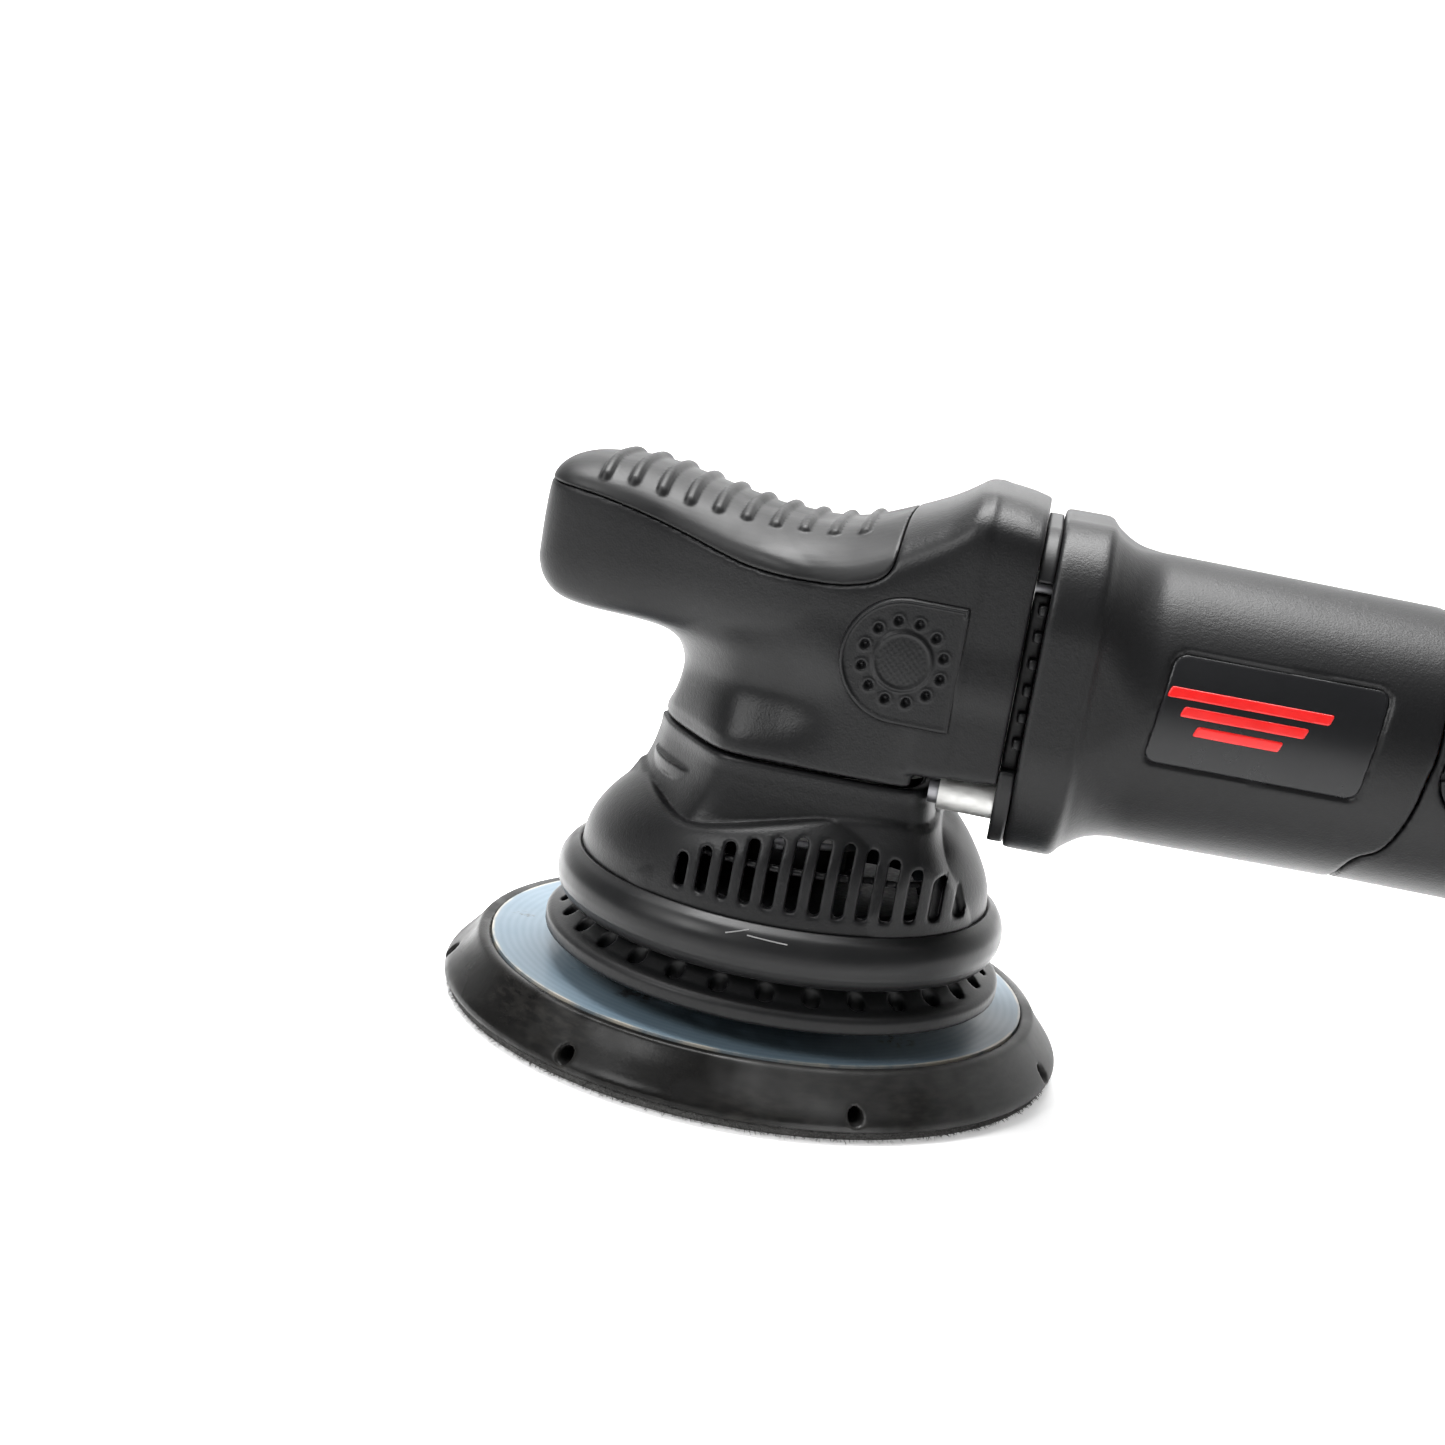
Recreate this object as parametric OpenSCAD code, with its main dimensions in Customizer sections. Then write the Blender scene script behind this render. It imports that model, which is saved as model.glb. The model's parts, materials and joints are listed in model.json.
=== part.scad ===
// Dual action polisher: palm head, long-throw eccentric drive, 150 mm backing plate, inline rear handle.
// Origin: spindle axis at the face the buffing pad sticks to. +Z runs up the spindle, +X back to the cord inlet.

/* [Backing plate and orbit] */
// Diameter of the foam backing plate
plate_d = 150; // [125:1:180]
// Diameter of the orbit, twice the eccentric's offset
orbit_d = 21; // [15:0.5:21]
// Direction of the plate's offset at rest, from +X
rest_turn = 110.6; // [0:1:359]

/* [Head and motor] */
// Height of the motor's axis above the pad face
motor_z = 97; // [95:1:118]
// Diameter of the motor housing behind its flange
barrel_d = 65; // [60:0.5:80]
// Length of the motor housing from the head joint to its rear edge
barrel_l = 85; // [80:1:110]
// Width of the head across its two flat sides
head_w = 72; // [70:1:88]

/* [Rear handle] */
// Length from the motor housing's rear edge to the cord inlet's cap
handle_l = 190; // [170:1:230]
// Width of the grip behind the brush housing
grip_w = 44; // [38:1:53]

/* [Details] */
// Ribs across the palm grip
rib_n = 10; // [6:1:12]
// Air slots on each side of the shroud
slot_n = 13; // [7:2:13]
// Vent holes round the skirt flange
vent_n = 30; // [18:1:36]

/* [Hidden] */
$fn = 96;
// clearances
seat = 0.02;       // shafts pressed in a bore, on one body
run = 0.4;         // between faces of bodies that turn past each other
wall = 3;          // moulded wall
far = 400;         // longer than any cut needs

// backing plate, from the pad face up
hook_t = 2.4;
foam_top = 13.4;
disc_top = 13.9;
disc_r = plate_d / 2 - 10.2;
lip_r = plate_d / 2 - 7.6;
hub_r = 21;
hub_top = 17;
plate_hole_r = 9;
foam_hole_n = 7;               // blind holes round the rim

// eccentric, all offsets in its own frame with the plate's axis at +X
throw = orbit_d / 2;
drive_t = 3;
drive_top = hub_top + drive_t;
pin_pcr = 13.2;
pin_r = 2.2;
weight_z = drive_top + 1;
weight_t = 7;
weight_r = 41;
hub_z = weight_z + weight_t;
hub_outer_r = 20;
pad_brg = [6, 14, 8];          // bore radius, outer radius, width
hub_h = 2 * pad_brg[2] + 1.2;
web_z = hub_z + hub_h;
web_t = 4.5;
screw_pcr = 17;
screw_turns = [-46, 0, 46];    // from straight away from the plate's axis

// spindle train in the gear case
low_brg = [7.5, 17.5, 11];
top_brg = [7.5, 16, 9];
case_z = web_z + web_t + 4.2;
low_brg_z = case_z + 2.5;
top_brg_z = low_brg_z + low_brg[2] + 3;

// bevel gears, both cut to one apex where the two axes cross
crown_n = 37;
pinion_n = 9;
gear_mod = 1.2;
crown_r = crown_n * gear_mod / 2;
pinion_r = pinion_n * gear_mod / 2;
cone_l = sqrt(crown_r * crown_r + pinion_r * pinion_r);
toe_ratio = 0.62;
tooth_add = 1.0;
tooth_ded = 1.3;
tooth_half = 0.84;             // half a tooth's thickness on the pitch line
flank = 20;
gear_z = motor_z - pinion_r;
crown_back = 4.5;

// skirt, bumper and shroud
skirt_r = 54.1;
skirt_z = 20.4;
rim_h = 4;
skirt_in_r = 42.6;
vent_pcr = 48.8;
vent_r = 2.1;
ring_z = 29;
ring_top = 41;
ring_r = 53;
neck_r = 35;
neck_z = 73;
slot_pitch = 5;
slot_w = 2.4;
slot_z = 44.2;
slot_top = 60.1;
slot_mid = 12;
slot_fall = 0.0095;

// head
head_hw = head_w / 2;
head_end = 45;
nose_x = -69;
nose_hw = 27;
head_top = motor_z + 41.5;
nose_z = motor_z + 15.5;       // middle of the nose
badge_z = motor_z + 3.5;
grip_t = 3;
case_r = 22.5;                 // gear case round the spindle bearings
ret_pcr = 20;
ret_r = 1.25;
case_hw = 27.6;
ear_r = 31;
ear_screw_r = 27.5;
lug_y = 28;
lug_z = 23.5;
lug_r = 4.6;

// motor
flange_x = 48.5;
barrel_r = barrel_d / 2;
motor_k = barrel_r / 32.5;     // motor parts grow with the housing
flange_hw = barrel_r + 5.1;
flange_r = flange_hw + 4.4;
flange_t = 11;
barrel_x = flange_x + 22;
barrel_end = flange_x + barrel_l;
tail_r = barrel_r - 1;
core_r = 17.5 * motor_k;
fan_r = 24.5 * motor_k;
coil_y = 20 * motor_k;
stator_r = tail_r - wall - seat;
core_x = flange_x + 22;
core_l = 36;
shaft_r = 5 * motor_k;
front_brg = [6, 14, 8];
front_brg_x = 34;
rear_brg = [4 * motor_k, 11 * motor_k, 7];
com_x = barrel_end + 2;
com_l = 14;
com_r = 11.5 * motor_k;
rear_brg_x = com_x + com_l + 3;
shaft_x = front_brg_x + front_brg[2] + 3;

// rear handle
handle_end = barrel_end + handle_l;
bell_end = barrel_end + 34;
grip_hw = grip_w / 2;
grip_z = motor_z - 1;
trigger_x = bell_end + 16;
trigger_l = 66;
trigger_z = grip_z - 20;

// ---- helpers ----------------------------------------------------------------
module on_motor(x) {
    translate([x, 0, motor_z]) rotate([0, 90, 0]) children();
}

module ring(r_out, r_in, h) {
    difference() {
        cylinder(r = r_out, h = h);
        translate([0, 0, -1]) cylinder(r = r_in, h = h + 2);
    }
}

module at_plate_axis() {
    rotate([0, 0, rest_turn]) translate([throw, 0, 0]) children();
}

module side_slab(points, half) {
    translate([0, half, 0]) rotate([90, 0, 0]) linear_extrude(height = 2 * half) polygon(points);
}

module outer_race(brg) {
    ring(brg[1] - seat, brg[0] + 2.2 + run, brg[2]);
}

module inner_race(brg) {
    ring(brg[0] + 2.2, brg[0] + seat, brg[2]);
}

// rounded box outline: quarter superellipse arcs, half sizes a and b
function squircle(a, b, power, steps) =
    [for (i = [0 : steps - 1])
        let (t = 360 * i / steps, c = cos(t), s = sin(t))
        [a * sign(c) * pow(abs(c), 2 / power), b * sign(s) * pow(abs(s), 2 / power)]];

// curve through the points, with steps pieces between each pair
function curve(p, steps) =
    [for (i = [0 : len(p) - 2], k = [0 : steps - 1])
        let (a = p[max(i - 1, 0)], b = p[i], c = p[i + 1], d = p[min(i + 2, len(p) - 1)], t = k / steps)
        b + 0.5 * t * ((c - a) + t * ((2 * a - 5 * b + 4 * c - d) + t * (3 * (b - c) + d - a)))];

// ---- head -------------------------------------------------------------------
// palm grip's top line from the nose back to the head's crest
function head_crest(drop) = concat(
    curve([[nose_x + drop, motor_z + 9], [nose_x + 1.2 + drop, motor_z + 23], [-64, motor_z + 29.5 - drop],
        [-57, motor_z + 32 - drop], [-45, motor_z + 32.8 - drop], [-30, motor_z + 30.3 - drop],
        [-15, motor_z + 27 - drop], [-2, motor_z + 26.6 - drop], [9, motor_z + 29.5 - drop],
        [20, motor_z + 34.8 - drop], [29, head_top - 1.7 - drop], [34, head_top - drop],
        [head_end, head_top - 2 - drop]], 4),
    [[head_end, head_top - 2 - drop]]);

module head_side(drop) {
    foot = [[head_end, neck_z + 3.5], [24, neck_z + 0.4], [10, neck_z], [-34, neck_z],
        [-33, neck_z + 7], [-32.4, motor_z - 10], [-36, motor_z - 3.7], [-48, motor_z - 2],
        [-59, motor_z - 0.4 + drop], [-66.5 + drop, motor_z + 3.5]];
    side_slab(concat(head_crest(drop), foot), far / 4);
}

module nose_plan(inset) {
    a = nose_hw - inset;
    linear_extrude(height = far)
        polygon(concat(
            curve([[0, a + 1], [-25, a], [-45, a - 0.5], [-60, a - 6], [-67 + inset, a - 15],
                [nose_x + inset, 0], [-67 + inset, 15 - a], [-60, 6 - a], [-45, 0.5 - a], [-25, -a],
                [0, -a - 1]], 4), [[0, -a - 1]]));
}

module nose_front(inset) {
    translate([nose_x - 1, 0, nose_z]) rotate([90, 0, 90])
        linear_extrude(height = 80) polygon(squircle(nose_hw + 0.5 - inset, 18.3, 2.9, 40));
}

module main_plan(inset) {
    a = head_hw - inset;
    linear_extrude(height = far)
        polygon(concat([[head_end, a], [6, a]],
            curve([[-6, a - 1], [-18, a - 6], [-28, a - 14], [-33.6 + inset, 0], [-28, 14 - a],
                [-18, 6 - a], [-6, 1 - a]], 4), [[-6, 1 - a], [6, -a], [head_end, -a]]));
}

// rounded shoulders above, straight sides below
module main_front(inset) {
    a = head_hw + 0.2 - inset;
    translate([-36, 0, motor_z + 3]) rotate([90, 0, 90]) linear_extrude(height = far / 4)
        polygon(concat([[a, -motor_z]], [for (p = squircle(a, 39.4, 5, 48)) if (p[1] >= 0) p], [[-a, -motor_z]]));
}

module head_outer(inset) {
    intersection() {
        head_side(inset);
        nose_plan(inset);
        nose_front(inset);
    }
    intersection() {
        head_side(inset);
        main_plan(inset);
        main_front(inset);
    }
}

module grip_zone() {
    end = [15.6, motor_z + 24];
    seam = curve([[nose_x - 3, motor_z + 26.5], [-61.7, motor_z + 26.2], [-52, motor_z + 25.4],
        [-42, motor_z + 23.4], [-31, motor_z + 20.7], [-20, motor_z + 17.8], [-6, motor_z + 16.5],
        [6, motor_z + 17.6], [13.5, motor_z + 20.6], end], 3);
    side_slab(concat(seam, [end, [end[0], head_top + 6], [nose_x - 3, head_top + 6]]), far / 4);
}

module head_cover() {
    color("#2c2d2f") difference() {
        head_outer(0);
        difference() {
            grip_zone();
            head_outer(grip_t);
        }
        translate([0, 0, 60]) cylinder(r = case_hw + 0.3, h = motor_z + 15.3 - 60);
        translate([0, 0, motor_z]) rotate([0, 90, 0]) cylinder(r = case_hw + 0.3, h = far);
        translate([head_end - 15, -lug_y - lug_r - 0.3, 0]) cube([far, 2 * (lug_y + lug_r + 0.3), motor_z + 31]);
        translate([-62, -19, nose_z - 12]) cube([40, 38, 18]);
    }
}

module palm_grip() {
    rib_pitch = 58.5 / (rib_n - 1);
    color("#1e1f20") {
        difference() {
            intersection() {
                head_outer(0);
                grip_zone();
            }
            head_outer(grip_t);
            ribs(rib_pitch, -0.2);
        }
        intersection() {
            ribs(rib_pitch, 0);
            head_outer(-1.2);
        }
    }
}

// rounded bars across the crest, each centred a little under the surface
module ribs(pitch, grow) {
    crest = head_crest(0);
    for (i = [0 : rib_n - 1]) {
        x = -52 + i * pitch;
        z = lookup(x, crest);
        translate([x, 0, z - 0.4]) rotate([90, 0, 0])
            cylinder(r = 1.5 + grow, h = 32 + 2 * grow, center = true, $fn = 24);
    }
}

// raised D-shaped border, ring of dimples and centre boss, one on each side of the head
module side_badges() {
    color("#2a2b2d") for (s = [-1, 1]) {
        translate([20.5, s * head_hw, badge_z]) rotate([90, 0, 0]) mirror([0, 0, (s + 1) / 2]) badge();
    }
}

module badge() {
    arc_r = 14.6;
    difference() {
        linear_extrude(height = 0.7) badge_outline(arc_r);
        translate([0, 0, 0.35]) linear_extrude(height = 1) badge_outline(arc_r - 1);
        for (i = [0 : 11])
            rotate([0, 0, 30 * i + 15]) translate([9.3, 0, -0.1]) cylinder(r = 0.95, h = 2, $fn = 24);
    }
    cylinder(r = 6, h = 1);
}

module badge_outline(r) {
    circle(r = r);
    translate([0, -r]) square([r - 2, 2 * r]);
}

// ---- gear case --------------------------------------------------------------
module gear_case() {
    bore_top = motor_z + 11;
    color("#b9bcbf") difference() {
        union() {
            translate([0, 0, case_z]) cylinder(r = case_r, h = gear_z - 10 - case_z);
            translate([0, 0, gear_z - 14]) cylinder(r = case_hw, h = bore_top + 4 - gear_z + 14);
            translate([0, 0, neck_z - 7.5]) shroud_ears();
            on_motor(0) cylinder(r = 20, h = 42);
            on_motor(head_end - 8) cylinder(r = 30, h = 8);
            translate([head_end - 8, -lug_y, motor_z - lug_z]) cube([8, 2 * lug_y, 2 * lug_z]);
            at_lugs(head_end - 12) cylinder(r = lug_r, h = 12);
        }
        translate([0, 0, gear_z - crown_back - 0.6])
            cylinder(r = crown_r + 2.2, h = bore_top - gear_z + crown_back + 0.6);
        translate([0, 0, low_brg_z]) cylinder(r = low_brg[1], h = low_brg[2]);
        translate([0, 0, case_z - 1]) cylinder(r = low_brg[1] - 0.01, h = low_brg_z - case_z + 1.1);
        translate([0, 0, low_brg_z]) cylinder(r = top_brg[1] - 2, h = 40);
        translate([0, 0, top_brg_z]) cylinder(r = top_brg[1], h = 40);
        on_motor(front_brg_x) cylinder(r = front_brg[1], h = far);
        on_motor(0) cylinder(r = front_brg[1] - 2, h = far);
        at_lugs(head_end - 13) cylinder(r = 2.3, h = 20);
        for (a = [45 : 90 : 359])
            rotate([0, 0, a]) translate([ear_screw_r, 0, neck_z - 8]) cylinder(r = 1.6, h = 12);
        for (a = [0 : 90 : 359])
            rotate([0, 0, a]) translate([ret_pcr, 0, case_z - 1]) cylinder(r = ret_r, h = 9);
    }
}

// the four screw lugs between gear case and motor housing
module at_lugs(x) {
    for (sy = [-1, 1], sz = [-1, 1])
        translate([x, sy * lug_y, motor_z + sz * lug_z]) rotate([0, 90, 0]) children();
}

// four ears that the shroud's inner flange is screwed up to
module shroud_ears() {
    difference() {
        cylinder(r = ear_r, h = 6);
        for (a = [0 : 90 : 359])
            rotate([0, 0, a]) translate([23, -11, -1]) cube([20, 22, 8]);
    }
}

module bearing_retainer() {
    color("#8f9295") translate([0, 0, case_z - 1.8]) difference() {
        cylinder(r = case_r, h = 1.8);
        translate([0, 0, -1]) cylinder(r = 13, h = 4);
        for (a = [0 : 90 : 359])
            rotate([0, 0, a]) translate([ret_pcr, 0, -1]) cylinder(r = ret_r + 0.35, h = 4);
    }
    color("#8f9295") translate([0, 0, case_z]) ring(low_brg[1] - 0.1, 15, low_brg_z - case_z);
}

module retainer_screws() {
    color("#6d7073") for (a = [0 : 90 : 359])
        rotate([0, 0, a]) translate([ret_pcr, 0, case_z - 1.8]) {
            translate([0, 0, -1.1]) pan_head(2.4, 1.1);
            cylinder(r = ret_r - seat, h = 8);
        }
}

// low screw head with a cross recess, face down
module pan_head(r, h) {
    difference() {
        cylinder(r = r, h = h);
        for (a = [0, 90])
            rotate([0, 0, a]) translate([-0.7 * r, -0.15 * r, -1]) cube([1.4 * r, 0.3 * r, 1 + 0.5 * h]);
    }
}

module spindle_bearing_outers() {
    color("#c9ccce") {
        translate([0, 0, low_brg_z]) outer_race(low_brg);
        translate([0, 0, top_brg_z]) outer_race(top_brg);
    }
}

module motor_bearing_outers() {
    color("#c9ccce") {
        on_motor(front_brg_x) outer_race(front_brg);
        on_motor(rear_brg_x) outer_race(rear_brg);
    }
}

// ---- shroud, bumper, skirt --------------------------------------------------
function shroud_line(t) = [[49.2 - t, ring_z + 1], [50 - t, ring_z + 5], [49.4 - t, ring_top - 1],
    [48.2 - t, 43.9], [46.4 - t, 47.9], [43.6 - t, 52.3], [40 - t, 56.8], [37 - t, 61],
    [neck_r + 0.3 - t, 65.5], [neck_r - t, neck_z - 0.3]];

module shroud() {
    color("#2c2d2f") difference() {
        union() {
            rotate_extrude() polygon(concat(shroud_line(0),
                [for (i = [0 : 9]) let (p = shroud_line(2.6)) p[9 - i]]));
            translate([0, 0, neck_z - 10.5]) ring(neck_r - 1.5, 24, 3);
            translate([0, 0, 51.2]) rib_hoop();
        }
        for (s = [-1, 1], k = [0 : slot_n - 1])
            translate([slot_x(k), 0, 0]) mirror([0, (1 - s) / 2, 0]) slot_cut(k);
        for (a = [45 : 90 : 359])
            rotate([0, 0, a]) translate([ear_screw_r, 0, neck_z - 12]) cylinder(r = 2, h = 6);
    }
}

function slot_x(k) = slot_mid + (k - (slot_n - 1) / 2) * slot_pitch;

// upright slot with round ends, cut square to the side so all of them are parallel
module slot_cut(k) {
    dx = slot_x(k) - slot_mid;
    tall = slot_top - slot_fall * dx * dx - slot_z;
    reach = 26 - 0.12 * abs(slot_x(k));
    r = slot_w / 2;
    translate([-r, reach, slot_z + r]) cube([slot_w, 30, tall - slot_w]);
    for (z = [slot_z + r, slot_z + tall - r])
        translate([0, reach, z]) rotate([-90, 0, 0]) cylinder(r = r, h = 30, $fn = 24);
}

// thin hoop seen through the slots
module rib_hoop() {
    rotate_extrude() polygon([[41.2, 0], [42.6, 0], [42.2, 1.2], [40.8, 1.2]]);
}

module shroud_screws() {
    color("#6d7073") for (a = [45 : 90 : 359])
        rotate([0, 0, a]) translate([ear_screw_r, 0, neck_z - 10.5]) {
            translate([0, 0, -1.8]) pan_head(3.2, 1.8);
            cylinder(r = 1.6 - seat, h = 10);
        }
}

module bumper_ring() {
    r = (ring_top - ring_z) / 2 + 0.1;
    color("#232425") rotate_extrude() difference() {
        translate([ring_r - r, (ring_z + ring_top) / 2]) circle(r = r, $fn = 48);
        square([ring_r - 5.1, far]);
        polygon(concat([[0, ring_z - 3]], [for (p = shroud_line(-0.05)) p], [[0, neck_z]]));
    }
}

module skirt_flange() {
    cone = [[skirt_r - 0.6, skirt_z], [skirt_r, skirt_z + 0.6], [skirt_r, skirt_z + rim_h - 0.8],
        [skirt_r - 0.8, skirt_z + rim_h], [46.2, ring_z - 0.1], [46.2, ring_z + 2.4], [skirt_in_r, ring_z + 2.4],
        [skirt_in_r, skirt_z + 2.2], [skirt_r - 2.4, skirt_z + 2], [skirt_r - 2.4, skirt_z]];
    color("#252628") difference() {
        rotate_extrude() polygon(cone);
        for (i = [0 : vent_n - 1])
            rotate([0, 0, 360 * i / vent_n]) translate([vent_pcr, 0, skirt_z - 1])
                cylinder(r = vent_r, h = 12, $fn = 32);
    }
}

// ---- head to motor joint ----------------------------------------------------
// spacer between head cover and motor flange: its side windows blow the cooling air out
module air_ring() {
    t = flange_x - head_end;
    color("#1c1d1e") difference() {
        on_motor(head_end) intersection() {
            cylinder(r = flange_r - 3, h = t);
            translate([-flange_hw + 3, -flange_hw + 3, 0]) cube([2 * flange_hw - 6, 2 * flange_hw - 6, t]);
        }
        on_motor(head_end - 1) cylinder(r = fan_r + 2, h = t + 2);
        for (s = [-1, 1], k = [-3 : 3])
            translate([head_end - 1, s * (flange_hw - 6.6) - 6, motor_z + k * 5.4 - 1.6]) cube([t + 2, 12, 3.2]);
        at_lugs(head_end - 1) cylinder(r = 2.3, h = 20);
    }
}

module case_screws() {
    color("#6d7073") at_lugs(head_end - 12) {
        translate([0, 0, -2.2]) pan_head(3.6, 2.2);
        cylinder(r = 2.1 - seat, h = 24);
    }
}

module motor_housing() {
    outer = concat([[0, flange_x], [flange_r, flange_x], [flange_r, flange_x + flange_t - 2]],
        curve([[flange_hw + 1.5, flange_x + flange_t], [flange_hw - 2.2, flange_x + 15],
            [barrel_r + 0.6, barrel_x - 3], [barrel_r, barrel_x]], 4),
        [[barrel_r, barrel_x], [tail_r, barrel_end + 1], [0, barrel_end + 1]]);
    color("#2c2d2f") difference() {
        intersection() {
            on_motor(0) rotate_extrude() polygon(outer);
            union() {
                translate([flange_x, -flange_hw, motor_z - flange_hw])
                    cube([flange_t + 14, 2 * flange_hw, 2 * flange_hw]);
                translate([flange_x + flange_t + 10, -far / 4, 0]) cube([far, far / 2, far]);
            }
        }
        on_motor(flange_x - 1) cylinder(r = barrel_r - wall - 0.5, h = 24);
        on_motor(flange_x + 6) cylinder(r = tail_r - wall, h = far);
        rear_side();
        name_plate_zone(0.7);
        at_lugs(flange_x - 1) cylinder(r = 2.1, h = 11);
    }
}

// everything behind the curved seam between motor housing and rear handle
module rear_side() {
    seam = curve([[barrel_end - 15, motor_z - 40], [barrel_end - 11.6, motor_z - 24.3],
        [barrel_end - 6.2, motor_z - 18.9], [barrel_end - 3.2, motor_z - 10.7],
        [barrel_end - 1.7, motor_z - 2], [barrel_end - 0.4, motor_z + 8], [barrel_end, motor_z + 40]], 4);
    side_slab(concat(seam, [[barrel_end, motor_z + barrel_d], [2 * far, motor_z + barrel_d],
        [2 * far, motor_z - barrel_d], [barrel_end - 15, motor_z - barrel_d]]), far / 4);
}

// slanted round-cornered plate on each side of the housing, depth below the surface
module name_plate_zone(depth) {
    low = motor_z - 8.8;
    high = motor_z + 15.2;
    x0 = flange_x + 25.4;
    plate_l = 44.6;
    lean = 2.8;
    difference() {
        side_slab([[x0, low + 3], [x0 + 2.6, low], [x0 + plate_l - 3, low], [x0 + plate_l, low + 3],
            [x0 + plate_l + lean, high - 3], [x0 + plate_l + lean - 2.6, high], [x0 + lean + 3, high],
            [x0 + lean, high - 3]], far / 4);
        on_motor(0) rotate_extrude() polygon([[0, 0], [barrel_r - depth, barrel_x], [tail_r - depth, barrel_end + 1],
            [0, barrel_end + 1]]);
    }
}

module name_plates() {
    color("#16171a") intersection() {
        name_plate_zone(0.7);
        on_motor(0) rotate_extrude() polygon([[0, barrel_x], [barrel_r - 0.25, barrel_x],
            [tail_r - 0.25, barrel_end + 1], [0, barrel_end + 1]]);
    }
}

// plain raised bars in place of lettering
module plate_stripes() {
    color("#d8232a") intersection() {
        for (k = [0 : 2])
            side_slab([[flange_x + 32, motor_z + 6.6 - 4 * k], [flange_x + 62 - 7 * k, motor_z + 6.6 - 4 * k],
                [flange_x + 61.2 - 7 * k, motor_z + 4.4 - 4 * k], [flange_x + 31.2, motor_z + 4.4 - 4 * k]], far / 4);
        on_motor(0) rotate_extrude() polygon([[barrel_r - 0.25, barrel_x], [barrel_r, barrel_x],
            [tail_r, barrel_end + 1], [tail_r - 0.25, barrel_end + 1]]);
    }
}

// ---- motor ------------------------------------------------------------------
module stator_core() {
    color("#77797c") on_motor(core_x) difference() {
        cylinder(r = stator_r, h = core_l);
        translate([0, 0, -1]) cylinder(r = core_r + 0.6, h = core_l + 2);
        for (s = [-1, 1])
            translate([-16 * motor_k, (s * 18.5 - 5.5) * motor_k, -1]) cube([32 * motor_k, 11 * motor_k, core_l + 2]);
        for (s = [-1, 1])
            translate([s * (stator_r + 3), 0, -1]) cylinder(r = 6, h = core_l + 2);
    }
}

module field_coils() {
    color("#b3662e") for (s = [-1, 1])
        on_motor(core_x - 6) difference() {
            translate([-15.5 * motor_k, s * coil_y - 3.6 * motor_k, 0])
                cube([31 * motor_k, 7.2 * motor_k, core_l + 12]);
            translate([0, 0, -1]) cylinder(r = core_r + 0.8, h = core_l + 14);
        }
}

// air guide in front of the stator, round the fan
module fan_baffle() {
    color("#3b3d40") on_motor(core_x - 8) ring(tail_r - wall - 0.1, fan_r - 2.5, 1.8);
}

module brush_carrier() {
    color("#3b3d40") on_motor(com_x + 1) difference() {
        cylinder(r = tail_r - wall - seat, h = 12);
        translate([0, 0, -1]) cylinder(r = com_r + 2.5, h = 14);
        for (s = [-1, 1])
            translate([-5.2, s * (com_r + 8.5) - 12, 1.4]) cube([10.4, 24, 9.2]);
        for (s = [-1, 1])
            translate([0, s * (com_r + 15.5), 6]) rotate([-90 * s, 0, 0]) cylinder(r = 8.1, h = 20);
    }
}

// spider that holds the rear motor bearing and lets the cooling air past
module rear_bearing_spider() {
    color("#3b3d40") on_motor(rear_brg_x) difference() {
        cylinder(r = tail_r - wall - seat, h = 5.5);
        translate([0, 0, -1]) cylinder(r = rear_brg[1], h = 9);
        for (a = [45 : 90 : 359])
            rotate([0, 0, a]) translate([14.5 * motor_k, -8, -1]) cube([9 * motor_k, 16, 9]);
    }
}

module brush_holders() {
    color("#c49a3a") for (s = [-1, 1])
        translate([com_x + 7, s * (com_r + 3), motor_z]) brush_tube(s);
}

module brush_tube(s) {
    difference() {
        translate([-4.6, s > 0 ? 0 : -12.4, -5.2]) cube([9.2, 12.4, 10.4]);
        translate([-3.6, s > 0 ? -1 : -14, -4.2]) cube([7.2, 15, 8.4]);
    }
}

module carbon_brushes() {
    color("#2b2b2d") for (s = [-1, 1])
        translate([com_x + 7 - 3.5, s > 0 ? com_r + 0.3 : -com_r - 10.3, motor_z - 4.1]) cube([7, 10, 8.2]);
}

module brush_springs() {
    color("#9a9da0") for (s = [-1, 1])
        translate([com_x + 7, s * (com_r + 10.3), motor_z]) rotate([-90 * s, 0, 0])
            for (k = [0 : 2])
                translate([0, 0, 0.9 + 1.6 * k]) rotate_extrude($fn = 32) translate([2.4, 0]) circle(r = 0.8, $fn = 12);
}

module brush_caps() {
    color("#1b1c1d") for (s = [-1, 1])
        translate([com_x + 7, s * (com_r + 15.6), motor_z]) rotate([-90 * s, 0, 0]) difference() {
            union() {
                cylinder(r = 6.4, h = 4);
                cylinder(r = 8, h = barrel_r - com_r - 16.6);
            }
            translate([-9, -0.8, barrel_r - com_r - 18.2]) cube([18, 1.6, 4]);
        }
}

module motor_shaft() {
    color("#b4b8bb") {
        on_motor(14.5) cylinder(r = 3, h = front_brg_x - 14.5);
        on_motor(front_brg_x) cylinder(r = front_brg[0], h = front_brg[2]);
        on_motor(front_brg_x + front_brg[2]) cylinder(r = 7, h = 3);
        on_motor(shaft_x) cylinder(r = shaft_r, h = com_x + com_l + 2 - shaft_x);
        on_motor(com_x + com_l + 2) cylinder(r = rear_brg[0], h = rear_brg_x + rear_brg[2] - 1 - com_x - com_l);
    }
}

module armature_core() {
    color("#6f7174") on_motor(core_x) difference() {
        cylinder(r = core_r, h = core_l);
        translate([0, 0, -1]) cylinder(r = shaft_r + seat, h = core_l + 2);
        for (i = [0 : 11])
            rotate([0, 0, 30 * i]) translate([core_r - 6, -0.9, -1]) cube([7, 1.8, core_l + 2]);
    }
}

module armature_winding() {
    color("#a85a28") for (x = [core_x - 6, core_x + core_l])
        on_motor(x) ring(core_r - 1.5, shaft_r + seat, 6);
}

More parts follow.
